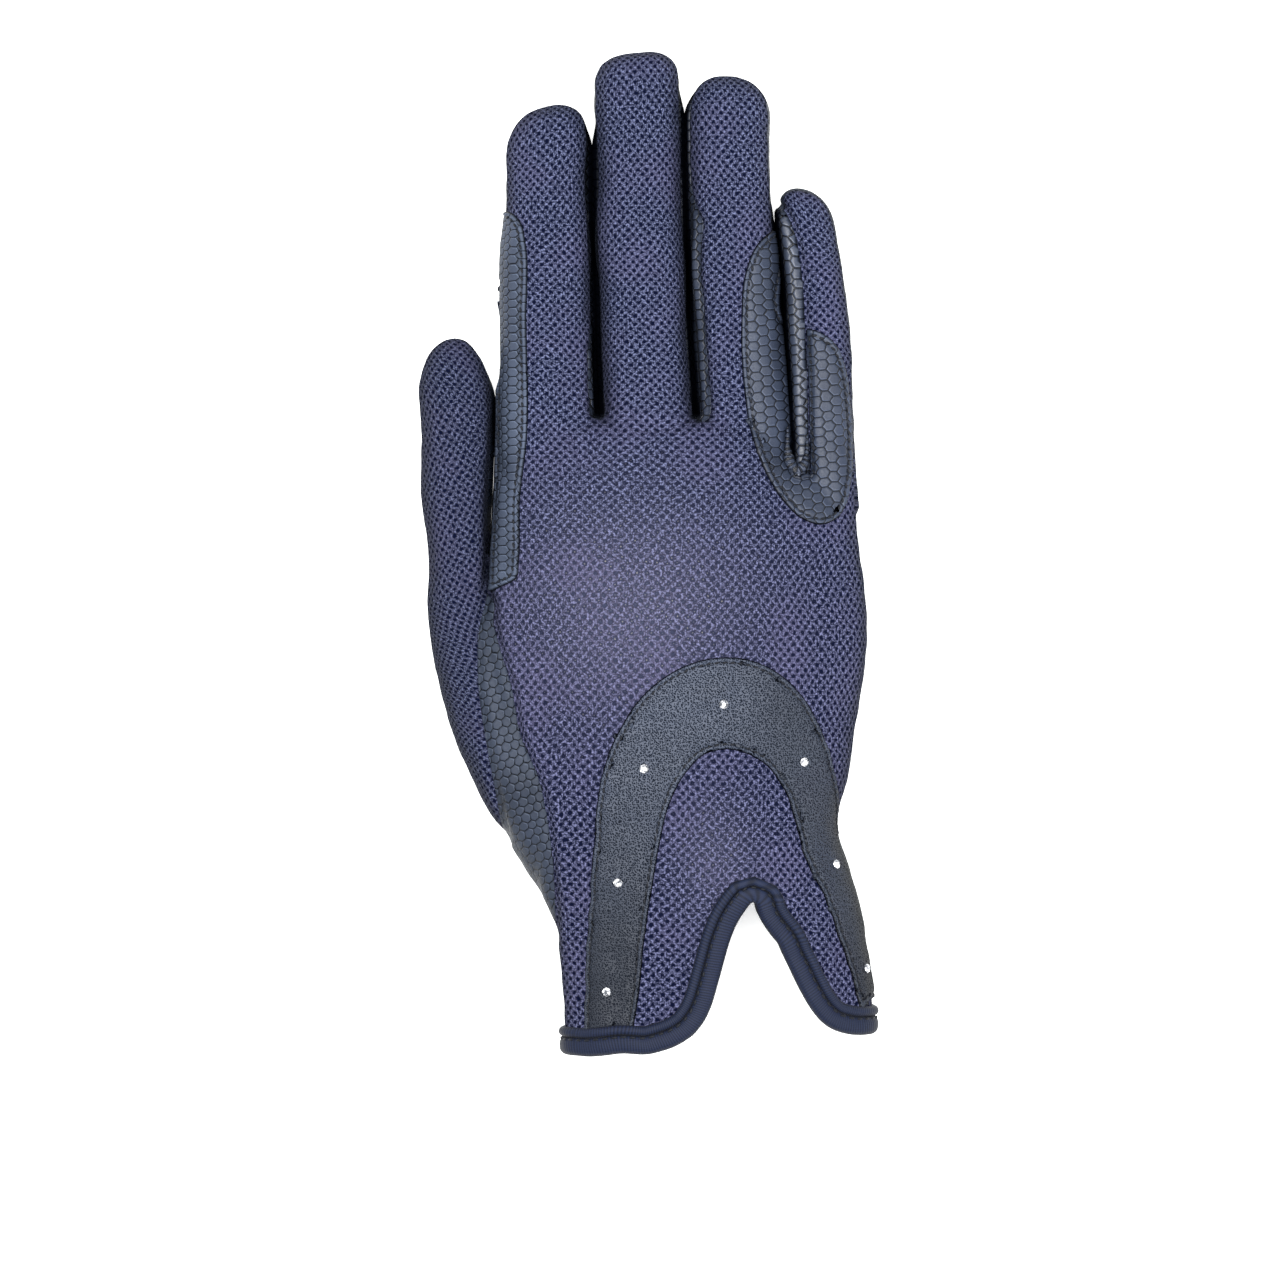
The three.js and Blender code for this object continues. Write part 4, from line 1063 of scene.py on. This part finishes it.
def smooth_leather(finish):
    """Plain leather with a fine pebble grain, with painted highlights on the pebbles and painted shade in the pits
    between them.
    """
    f = Finish("smooth leather", finish.smooth_leather, 0.5)
    u, v = f.chart()
    bend = f.sub(f.noise(f.vector(u, v), 1.1), 0.5)
    given = {"Vector": f.vector(f.add(u, bend), f.sub(v, bend)), "Scale": 2.15, "Randomness": 0.65}
    cushion = f.soft(f.node("ShaderNodeTexVoronoi", values=given, voronoi_dimensions="2D"), 0.14, 0.44)
    base = tuple(finish.smooth_leather)
    patchy = f.soft(f.noise(f.place(), 90.0, 3.0), 0.3, 0.7)
    colour = f.mix(patchy, times(base, 0.85), times(base, 1.2))
    # Painted light: the pebbles are painted paler towards their tops and near black in the pits between them.
    colour = f.mix(f.soft(cushion, 0.6, 1.0, 0.0, 0.55), colour, times(base, 1.3))
    colour = f.mix(cushion, times(base, 0.14), colour)
    # Painted shade: darker towards the wrist and towards the little finger's side, where the band falls away from the
    # light.
    painted_falloff_shade = f.math("MAXIMUM", f.soft(v, 5.0, 70.0, 0.8, 0.0), f.soft(u, 8.0, 26.0, 0.0, 0.45))
    colour = f.mix(painted_falloff_shade, colour, times(base, 0.2))
    f.shaded(seam_shade(f, colour, times(base, 0.1)), f.mul(cushion, 0.25), 0.85)
    fine = f.noise(f.vector(u, v), 2.4, 4.0, 0.65)
    f.set("Roughness", f.soft(fine, 0.3, 0.7, 0.4, 0.6))
    f.bump(f.add(cushion, f.mul(fine, 0.3)), 0.00012, 0.8)
    return f.material


def ribbed_tape(finish, name="ribbed tape", rib=1.6):
    """Woven tape with fine ribs across it."""
    f = Finish(name, finish.tape, 0.6, Sheen_Weight=0.03, Sheen_Roughness=0.5)
    u, v = f.chart()
    wave = f.math("SINE", f.mul(f.add(u, f.mul(v, 0.12)), 2 * math.pi * rib))
    weft = f.math("SINE", f.mul(v, 2 * math.pi * 2.6))
    fine = f.noise(f.vector(u, v), 2.6, 3.0)
    height = f.add(f.mul(wave, 0.5), f.add(f.mul(weft, 0.2), f.mul(fine, 0.5)))
    f.shaded(f.mix(f.soft(height, -0.3, 0.7), times(finish.tape, 0.6), times(finish.tape, 1.42)), 0.12, 0.5)
    f.bump(height, 0.00005, 0.7)
    return f.material


def gathered_leather(finish):
    """Leather drawn up in small pleats, with painted shade in the folds between them."""
    f = Finish("gathered leather", finish.leather, 0.5)
    u, v = f.chart()
    bend = f.noise(f.vector(u, v), 0.7)
    pleat = f.math("SINE", f.add(f.mul(u, 2 * math.pi / 1.25), f.mul(bend, 7.0)))
    # Painted shade: the folds between the pleats are painted near black.
    f.shaded(f.mix(f.soft(pleat, -0.9, 0.5), times(finish.leather, 0.12), times(finish.leather, 1.1)), 0.35)
    f.bump(f.add(pleat, f.mul(f.noise(f.place(), 2600.0, 3.0), 0.3)), 0.0003, 0.9)
    return f.material


def sewing_thread(finish):
    f = Finish("sewing thread", finish.thread, 0.6, Specular_IOR_Level=0.2, Sheen_Weight=0.03)
    twist = f.noise(f.place(), 4200.0)
    f.set("Base Color", f.mix(twist, times(finish.thread, 0.6), times(finish.thread, 1.6)))
    f.bump(twist, 0.00006, 0.7)
    return f.material


def cut_glass(finish):
    f = Finish("cut glass", (0.96, 0.97, 1.0), 0.03, IOR=1.6, Coat_Weight=1.0, Coat_Roughness=0.02, Metallic=0.5)
    # Painted reflections: the metallic colour is dark and pale in patches, as if the facets mirrored dark and bright
    # surroundings; the same noise varies the roughness.
    painted_reflection = f.noise(f.place(), 1300.0)
    f.set("Base Color", f.mix(f.soft(painted_reflection, 0.42, 0.58), (0.12, 0.13, 0.15), (0.85, 0.85, 0.88)))
    f.set("Roughness", f.soft(painted_reflection, 0.3, 0.7, 0.02, 0.1))
    return f.material


# ---------------------------------------------------------------- pieces


def cloth_piece(context, name, field, material, node, slot, chart, smallest=200, **values):
    """A piece of the glove's skin, cut out where the field is positive."""
    cut = context.scene.glove_cut
    bm = hand_form(cut)
    trimmed(bm, field)
    without_crumbs(bm, smallest)
    co = coordinates(bm)
    values = {key: value(co) for key, value in values.items()}
    # The deep value is painted shade in the gaps and the thumb's fold.
    as_piece(bm, name, material, (node,), slot, chart(co), {**values, "deep": shade_in_gaps(co)}, cut.cloth * MM)


def patch(cut, name, field, node, material, slot, height, chart=cloth_chart):
    """A patch laid on the hand, with a stitched edge. Returns its stitch lines."""
    bm = hand_form(cut)
    layer = trimmed(bm, field, EDGE_AT[1:6])
    without_crumbs(bm, 200)
    bm.verts.index_update()
    co, normal = coordinates(bm), vertex_normals(bm)
    # Narrow faces beside the cut lines have unsteady normals, which would leave spikes.
    edges = joined(bm)
    for _ in range(3):
        normal = unit(normal + neighbours(normal, edges))
    marks = chart(co)
    inside = np.array([v[layer] for v in bm.verts])
    put(bm, co + normal * np.interp(inside, EDGE_AT, np.array(EDGE_HEIGHT) * height)[:, None])
    bm.normal_update()
    chains = level_chains(bm, layer, STITCH_LINE)
    FORMS[name] = BVHTree.FromBMesh(bm)
    # The deep value is painted shade in the gaps and the thumb's fold.
    values = {"inside": inside, "deep": shade_in_gaps(co)}
    as_piece(bm, name, material, (node,), slot, marks, values, wall=height * 1.2)
    return chains


def thread_piece(name, chains, pitch, length=1.25, thick=0.6, skew=0.4, lowest=0.35):
    bm = bmesh.new()
    for chain in chains:
        stitch_row(bm, chain, pitch * MM, length, thick, skew, lowest)
    as_piece(bm, name, sewing_thread(bpy.context.scene.glove_finish), (), "ribbed_tape")


def stretched(co):
    """Where the cloth is drawn tight: over the knuckles and a little above the notch."""
    x, y = co[:, 0], co[:, 1]
    knuckles = np.exp(-((x + 10) / 24)**2 - ((y - 98) / 24)**2)
    return np.maximum(knuckles, 0.55 * np.exp(-((x - 8) / 9)**2 - ((y - 42) / 14)**2))


class GLOVE_OT_back_cloth(bpy.types.Operator):
    """Mesh cloth over the back of the hand and fingers"""

    bl_idname = "glove.back_cloth"
    bl_label = "Back cloth"

    def execute(self, context):
        def field(co):
            return np.minimum.reduce([back_field(co), -thumb_field(co), above_cuff(co) - HEM])

        cloth_piece(context, "back_cloth", field, mesh_cloth(context.scene.glove_finish), "back_panel", "mesh_cloth",
                    lambda co: cloth_chart(co, knit=True), stretched=stretched)
        return {"FINISHED"}


def palm_chart(co):
    """The palm's cloth, with the strip beside the thumb laid straight along its own length."""
    x, y, z = co.T
    wrist = smooth((66 - y) / 14)
    above = (smooth((z - (6.5 - 4.0 * wrist)) / 2.5) * smooth((-15 - x) / 5) * smooth((112 - y) / 6))[:, None]
    laid = co.copy()
    laid[:, 0] -= 0.75 * np.maximum(0, 18 - z) * wrist
    return cloth_chart(co, False) * (1 - above) + plan_chart(laid, -0.28) * [1.26, 1.06] * above


class GLOVE_OT_palm_leather(bpy.types.Operator):
    """Embossed leather of the palm and of the strip along the thumb side"""

    bl_idname = "glove.palm_leather"
    bl_label = "Palm leather"

    def execute(self, context):
        def field(co):
            strips = np.maximum.reduce([gusset_field(co, gap) for gap in range(3)])
            return np.minimum.reduce([-back_field(co), -strips, -thumb_field(co), above_cuff(co) - HEM])

        material = embossed_leather(context.scene.glove_finish, "strip leather", tone=1.12, painted_lee_strength=1.0, gloss=0.1,
                                    scales=True, turned=0.4)
        cloth_piece(context, "palm_leather", field, material, "palm_panel", "embossed_leather", palm_chart)
        return {"FINISHED"}


class GLOVE_OT_finger_strips(bpy.types.Operator):
    """Leather strips in the three gaps between the fingers"""

    bl_idname = "glove.finger_strips"
    bl_label = "Finger strips"

    def execute(self, context):
        material = embossed_leather(context.scene.glove_finish, "finger strip leather", puffy=2.6, painted_lee_strength=0.6,
                                    gloss=0.6)
        for gap, name in enumerate(("index_middle", "middle_ring", "ring_little")):
            cloth_piece(context, "strip_" + name, lambda co: gusset_field(co, gap), material, "gusset_" + name,
                        "embossed_leather", cloth_chart, smallest=40)
        return {"FINISHED"}


class GLOVE_OT_thumb(bpy.types.Operator):
    """The thumb, mesh cloth on its back and leather on its front"""

    bl_idname = "glove.thumb"
    bl_label = "Thumb"

    def execute(self, context):
        finish = context.scene.glove_finish
        for name, material, node, slot, side in (
            # The thumb's cloth is a darker copy of the mesh cloth: painted shade.
            ("thumb_cloth", mesh_cloth(finish, "thumb cloth", 0.75), "thumb_back", "mesh_cloth", 1),
            ("thumb_leather", embossed_leather(finish), "thumb_front", "embossed_leather", -1),
        ):
            def field(co):
                halves = side * (co[:, 2] - THUMB_SIDE_SEAM)
                return np.minimum.reduce([thumb_field(co), halves, above_cuff(co) - HEM])

            cloth_piece(context, name, field, material, node, slot, lambda co: thumb_chart(co, side > 0),
                        smallest=100, stretched=lambda co: 0 * co[:, 0])
        return {"FINISHED"}


class GLOVE_OT_index_patch(bpy.types.Operator):
    """Leather patch on the thumb side of the index finger"""

    bl_idname = "glove.index_patch"
    bl_label = "Index patch"

    def execute(self, context):
        cut = context.scene.glove_cut
        outline = spline_path(drawn(INDEX_PATCH), 1.2, True)

        def field(co):
            seam = co[:, 2] - seam_height(co) + 1.6
            shape = np.minimum.reduce([inside_outline(co[:, :2], outline), seam, -0.5 - thumb_field(co)])
            return np.where(co[:, 0] < -18, shape, OUTSIDE)

        # The index patch's leather is a lighter copy of the embossed leather: painted light on the patch, which lies on
        # the finger's side.
        material = embossed_leather(context.scene.glove_finish, "index leather", 0.85, 1.95, True, puffy=1.6,
                                    painted_lee_strength=1.0, gloss=0.1, scales=True, turned=0.25)
        chains = patch(cut, "index_leather", field, "index_patch", material, "embossed_leather", cut.patch * MM,
                       plan_chart)
        thread_piece("index_stitches", chains, cut.stitch)
        return {"FINISHED"}


class GLOVE_OT_saddle_patch(bpy.types.Operator):
    """Leather patch round the fork of the ring and little fingers, with its gathered loop"""

    bl_idname = "glove.saddle_patch"
    bl_label = "Saddle patch"

    def execute(self, context):
        cut = context.scene.glove_cut
        outline = spline_path(drawn(SADDLE_PATCH), 1.2, True)

        def field(co):
            seam = np.where(co[:, 1] > 128, co[:, 2] - seam_height(co) + 2.4, 50)
            shape = np.minimum(inside_outline(co[:, :2], outline), seam)
            return np.where(co[:, 2] > 8, np.minimum(shape, roll_distance(co) - 0.1), OUTSIDE)

        material = embossed_leather(context.scene.glove_finish, "saddle leather", edged=True)
        chains = patch(cut, "saddle_leather", field, "saddle_patch", material, "embossed_leather", cut.patch * MM,
                       lambda co: plan_chart(co, 0.1))
        thread_piece("saddle_stitches", chains, cut.stitch)
        rail = loop_rail(FORMS["saddle_leather"])

        def loop(turn, place):
            row = place * (len(rail) - 1)
            at = lambda rows: np.column_stack([np.interp(row, np.arange(len(rail)), column) for column in rows.T])
            middle, up = at(rail[:, :3]), unit(at(rail[:, 3:]))
            side = np.cross(unit(at(np.gradient(rail[:, :3], axis=0))), up)
            angle = 2 * np.pi * turn
            fold = 1 + 0.07 * np.sin(place * 71)
            end = np.sqrt(np.clip(np.minimum(place, 1 - place) / 0.12, 0, 1)) * 0.85 + 0.15
            low = smooth((1 - np.abs(place - 0.5) / 0.32) * 1.4)
            wide, high = (0.5 + 0.85 * low) * fold * end, (0.6 + 0.35 * low) * fold * end
            return middle + side * (wide * np.cos(angle))[:, None] + up * (high * np.sin(angle) + 0.25)[:, None]

        bm = wrapped(loop, 20, 90)
        off = np.linalg.norm(coordinates(bm)[:, None, :] - rail[None, :, :3], axis=2)
        marks = np.column_stack([off.argmin(1) * LOOP_STEP, off.min(1)])
        material = gathered_leather(context.scene.glove_finish)
        as_piece(bm, "gathered_loop", material, ("fork_loop",), "embossed_leather", marks)
        return {"FINISHED"}


def loop_rail(tree):
    """The gathered loop's middle line on the saddle patch, with the way it leans at each point."""
    line = spline_path(drawn(FORK_LOOP), LOOP_STEP)
    middle = line.mean(0) + [0, 3.0]
    rail = []
    for x, y in line:
        out = np.array([x, y]) - middle
        out = out / np.linalg.norm(out) * 1.5
        hit = tree.ray_cast(Vector((x + out[0], y + out[1], 60)), Vector((0, 0, -1)))
        near = hit[0].z if hit[0] is not None else 17.0
        rail.append((x, y, near - 0.2, -out[0] * 0.25, -out[1] * 0.25, 0.9))
    rail = np.array(rail)
    for _ in range(2):
        rail[:, 2] = np.convolve(np.pad(rail[:, 2], 9, mode="edge"), np.ones(19) / 19, "valid")
    return rail


def horseshoe_field():
    """Distance inside the horseshoe, on the cloth's own coordinates."""
    tube = TUBES["hand"]

    def on_cloth(rows):
        x, y = spline_path(drawn(rows), 1.0).T
        return tube.unrolled(np.column_stack([x, y, tube.top(x, y, 0.999)]))

    outer, inner = on_cloth(HORSESHOE_OUTER), on_cloth(HORSESHOE_INNER)
    way = unit(np.gradient(inner, axis=0))
    # The right leg's outer edge runs beside its inner one, from where the drawn edge ends.
    leg = inner + np.column_stack([-way[:, 1], way[:, 0]]) * 13.0
    start = int(np.argmin(np.linalg.norm(leg - outer[-1], axis=1)))
    outline = np.vstack([outer, leg[start + 6:], inner[::-1]])
    return lambda co: np.where(co[:, 2] > 5, inside_outline(tube.unrolled(co), outline), OUTSIDE)


class GLOVE_OT_horseshoe(bpy.types.Operator):
    """Horseshoe band of smooth leather over the wrist"""

    bl_idname = "glove.horseshoe"
    bl_label = "Horseshoe"

    def execute(self, context):
        cut = context.scene.glove_cut
        band = horseshoe_field()

        def field(co):
            return np.where(co[:, 1] < 110, np.minimum(band(co), above_cuff(co) - 5.0), OUTSIDE)

        material = smooth_leather(context.scene.glove_finish)
        chains = patch(cut, "horseshoe_leather", field, "horseshoe_band", material, "smooth_leather", 0.7)
        thread_piece("horseshoe_stitches", chains, cut.stitch, length=1.15, thick=0.5)
        return {"FINISHED"}


class GLOVE_OT_stones(bpy.types.Operator):
    """Seven small cut stones along the horseshoe"""

    bl_idname = "glove.stones"
    bl_label = "Stones"

    def execute(self, context):
        size = context.scene.glove_cut.stone * MM
        tree = FORMS["horseshoe_leather"]
        glass = cut_glass(context.scene.glove_finish)
        for k, (x, y) in enumerate(drawn(STONES)):
            hit = tree.ray_cast(Vector((x, y, 60)), Vector((0, 0, -1)))
            if hit[0] is None:
                low, high = (Vector(c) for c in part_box(f"stone_{k + 1}"))
                hit = tree.find_nearest((low + high) / 2 * MM + Vector(ORIGIN))
            place, up = hit[0], hit[1]
            bm = bmesh.new()
            bmesh.ops.create_cone(
                bm, cap_ends=True, segments=8, radius1=size * 0.5, radius2=size * 0.22, depth=size * 0.24)
            crown = [v for v in bm.verts if v.co.z > 0]
            bmesh.ops.rotate(bm, verts=crown, cent=(0, 0, 0), matrix=Matrix.Rotation(math.pi / 8, 3, "Z"))
            foot = [f for f in bm.faces if f.normal.z < -0.9]
            sunk = bmesh.ops.extrude_face_region(bm, geom=foot)["geom"]
            low = [g for g in sunk if isinstance(g, bmesh.types.BMVert)]
            bmesh.ops.translate(bm, verts=low, vec=(0, 0, -size * 0.16))
            bmesh.ops.delete(bm, geom=foot, context="FACES_ONLY")
            bmesh.ops.scale(bm, verts=low, vec=(0.9, 0.9, 1))
            bmesh.ops.triangulate(bm, faces=[f for f in bm.faces if abs(f.normal.z) < 0.9])
            bmesh.ops.recalc_face_normals(bm, faces=bm.faces[:])
            turn = Vector((0, 0, 1)).rotation_difference(up).to_matrix().to_4x4()
            bmesh.ops.transform(bm, matrix=Matrix.Translation(place + up * size * 0.22) @ turn, verts=bm.verts[:])
            as_piece(bm, f"cut_stone_{k + 1}", glass, (f"stone_{k + 1}",), "cut_glass", flat=True)
        return {"FINISHED"}


def cuff_loop():
    """The cuff's free edge all the way round, with the surface normal and the way to the hand."""
    tube = TUBES["hand"]
    x, y = CUFF_PATH.T
    c = np.clip((x - tube.at(y, tube.aside)) / tube.at(y, tube.wide), -1, 1)
    turn = np.arccos(np.sign(c) * np.abs(c) ** (tube.squareness / 2))
    first = np.argmax(turn < 2.75)
    last = len(turn) - np.argmax(turn[::-1] > 0.4)
    top = np.column_stack([turn[first:last], y[first:last]])
    right = np.linspace(top[-1, 0], -top[-1, 0], 22)[1:-1]
    left = np.linspace(top[0, 0], 2 * np.pi - top[0, 0], 22)[1:-1]
    turn, v = np.vstack([
        top,
        np.column_stack([right, np.full(20, top[-1, 1])]),
        np.column_stack([-top[::-1, 0], top[::-1, 1]]),
        np.column_stack([left[::-1], np.full(20, top[0, 1])]),
    ]).T
    c, s = tube.rounded(turn)
    path = spline_path(np.column_stack([
        tube.at(v, tube.aside) + tube.at(v, tube.wide) * c, v, tube.at(v, tube.middle) + tube.at(v, tube.high) * s,
    ]), 0.6, True)
    path = 0.5 * path + 0.25 * (np.roll(path, 1, axis=0) + np.roll(path, -1, axis=0))
    normal = np.array([FORMS["hand_tree"].find_nearest(Vector(p))[1] for p in path])
    for _ in range(6):
        normal = unit(normal + np.roll(normal, 1, axis=0) + np.roll(normal, -1, axis=0))
    way = unit(np.roll(path, -1, axis=0) - np.roll(path, 1, axis=0))
    return path, normal, unit(np.cross(normal, way))


def swept_on_cuff(profile, name, material, node, sides):
    """A closed profile of rise and height, swept round the cuff on the surface of the hand."""
    path, normal, rise = FORMS["cuff"]
    tree = FORMS["hand_tree"]
    profile = spline_path(profile, 0.05, True)
    travel = np.append(np.linspace(0, 1, len(profile), endpoint=False), 1)
    total = np.linalg.norm(np.roll(path, -1, axis=0) - path, axis=1).sum()
    girth = np.linalg.norm(np.diff(np.vstack([profile, profile[:1]]), axis=0), axis=1).sum()

    def surface(around, along):
        r, h = (np.interp(around, travel, np.append(column, column[0])) for column in profile.T)
        row = along * len(path)
        i = np.floor(row).astype(int) % len(path)
        part = (row - np.floor(row))[:, None]
        blend = lambda rows: rows[i] * (1 - part) + rows[(i + 1) % len(path)] * part
        places = []
        for p, n, w, rr, hh in zip(blend(path), blend(normal), blend(rise), r, h):
            near, face, _, _ = tree.find_nearest(Vector(p + w * max(rr, 0.0)))
            places.append(np.array(near) + (n * 0.4 + np.array(face) * 0.6) * hh + w * min(rr, 0.0))
        return np.array(places)

    bm = bmesh.new()
    bmesh.ops.create_grid(bm, x_segments=sides, y_segments=int(total / 0.7), size=1)
    share = np.array([v.co[:2] for v in bm.verts]) / 2 + 0.5
    marks = bm.loops.layers.uv.new("cloth")
    for face in bm.faces:
        for loop in face.loops:
            a, b = share[loop.vert.index]
            loop[marks].uv = (b * total * 0.001, a * girth * 0.001)
    put(bm, surface(share[:, 0], share[:, 1]))
    bmesh.ops.remove_doubles(bm, verts=bm.verts[:], dist=0.003)
    bmesh.ops.recalc_face_normals(bm, faces=bm.faces[:])
    as_piece(bm, name, material, (node,), "ribbed_tape")


class GLOVE_OT_cuff(bpy.types.Operator):
    """Folded tape round the notched cuff, rolled piping above it and the stitches between them"""

    bl_idname = "glove.cuff"
    bl_label = "Cuff"

    def execute(self, context):
        cut, finish = context.scene.glove_cut, context.scene.glove_finish
        FORMS["cuff"] = cuff_loop()
        width, roll = cut.tape * MM, cut.piping * MM / 2
        tape = [(0.4, 0.75), (0.9, 1.15), (1.7, 1.3), (width - 1.0, 1.2), (width - 0.3, 0.85), (width, 0.3),
                (width, -0.4), (width - 0.2, -1.7), (width - 1.2, -2.1), (1.7, -2.2), (0.9, -2.1), (0.35, -1.7),
                (0.0, -1.0), (-0.05, -0.4), (0.1, 0.3)]
        swept_on_cuff(tape, "folded_tape", ribbed_tape(finish), "cuff_tape", 40)
        middle = width + roll + 0.05
        turns = np.linspace(0, 2 * math.pi, 14, endpoint=False)
        piping = [(middle + roll * math.cos(t), 0.45 + roll * 0.95 * math.sin(t)) for t in turns]
        swept_on_cuff(piping, "rolled_piping", ribbed_tape(finish, "piping", 1.5), "cuff_piping", 18)
        path, _, rise = FORMS["cuff"]
        line, faces = [], []
        for p in path + rise * (width - 0.45):
            near, face, _, _ = FORMS["hand_tree"].find_nearest(Vector(p))
            line.append(np.array(near + face * 0.85))
            faces.append(np.array(face))
        chain = (line + line[:1], faces + faces[:1])
        thread_piece("cuff_stitches", [chain], 0.0022, length=1.4, thick=0.55, skew=0.1, lowest=-2)
        return {"FINISHED"}


class GLOVE_OT_stage(bpy.types.Operator):
    """Pale floor, soft light from above and the camera"""

    bl_idname = "glove.stage"
    bl_label = "Stage"

    def execute(self, context):
        stage = context.scene.glove_stage
        bm = bmesh.new()
        bmesh.ops.create_grid(bm, x_segments=2, y_segments=2, size=3.0)
        mesh = bpy.data.meshes.new("floor")
        bm.to_mesh(mesh)
        bm.free()
        floor = bpy.data.objects.new("floor", mesh)
        context.scene.collection.objects.link(floor)
        surface = Finish("floor", stage.floor, 0.9, Emission_Color=(1.0, 1.0, 1.0), Emission_Strength=0.45)
        tone = surface.noise(surface.place(), 6.0)
        surface.set("Base Color", surface.mix(tone, tuple(stage.floor), tuple(min(1, c * 1.02) for c in stage.floor)))
        mesh.materials.append(surface.material)
        for name, place, size, share in (
            ("overhead", (-0.15, 0.2, 1.3), 1.4, 1.0),
            ("side", (0.9, -0.5, 0.9), 0.8, 0.25),
        ):
            lamp = bpy.data.lights.new(name, "AREA")
            lamp.shape = "DISK"
            lamp.size = size
            lamp.energy = stage.light * share
            light = bpy.data.objects.new(name, lamp)
            light.location = place
            light.rotation_euler = (-Vector(place)).to_track_quat("-Z", "Y").to_euler()
            context.scene.collection.objects.link(light)
        world = bpy.data.worlds.get("soft light") or bpy.data.worlds.new("soft light")
        world.use_nodes = True
        sky = world.node_tree.nodes["Background"].inputs
        sky["Color"].default_value = (0.97, 0.985, 1.0, 1)
        sky["Strength"].default_value = stage.sky
        context.scene.world = world
        lens = bpy.data.cameras.new("camera")
        lens.sensor_width = 36.0
        lens.lens = lens.sensor_width * (stage.height - SEEN_LEVEL) / SEEN_WIDTH
        camera = bpy.data.objects.new("camera", lens)
        camera.location = (*CAMERA_OVER, stage.height)
        context.scene.collection.objects.link(camera)
        context.scene.camera = camera
        context.scene.view_settings.view_transform = "Standard"
        return {"FINISHED"}


class GLOVE_PT_panel(bpy.types.Panel):
    bl_idname = "GLOVE_PT_panel"
    bl_label = "Riding glove"
    bl_space_type = "VIEW_3D"
    bl_region_type = "UI"
    bl_category = "Glove"

    def draw(self, context):
        for settings in (context.scene.glove_cut, context.scene.glove_finish, context.scene.glove_stage):
            box = self.layout.box()
            for name in settings.bl_rna.properties.keys():
                if name not in ("rna_type", "name"):
                    box.prop(settings, name)
        for operator in OPERATORS:
            self.layout.operator(operator.bl_idname)


OPERATORS = (GLOVE_OT_back_cloth, GLOVE_OT_palm_leather, GLOVE_OT_finger_strips, GLOVE_OT_thumb,
             GLOVE_OT_index_patch, GLOVE_OT_saddle_patch, GLOVE_OT_horseshoe, GLOVE_OT_stones, GLOVE_OT_cuff,
             GLOVE_OT_stage)
SETTINGS = {"glove_cut": CutSettings, "glove_finish": FinishSettings, "glove_stage": StageSettings}


def register():
    for cls in (*SETTINGS.values(), *OPERATORS, GLOVE_PT_panel):
        bpy.utils.register_class(cls)
    for name, group in SETTINGS.items():
        setattr(bpy.types.Scene, name, bpy.props.PointerProperty(type=group))


def unregister():
    for name in SETTINGS:
        delattr(bpy.types.Scene, name)
    for cls in reversed((*SETTINGS.values(), *OPERATORS, GLOVE_PT_panel)):
        bpy.utils.unregister_class(cls)


def main():
    register()
    for operator in OPERATORS:
        group, name = operator.bl_idname.split(".")
        getattr(getattr(bpy.ops, group), name)()


if __name__ == "__main__":
    main()
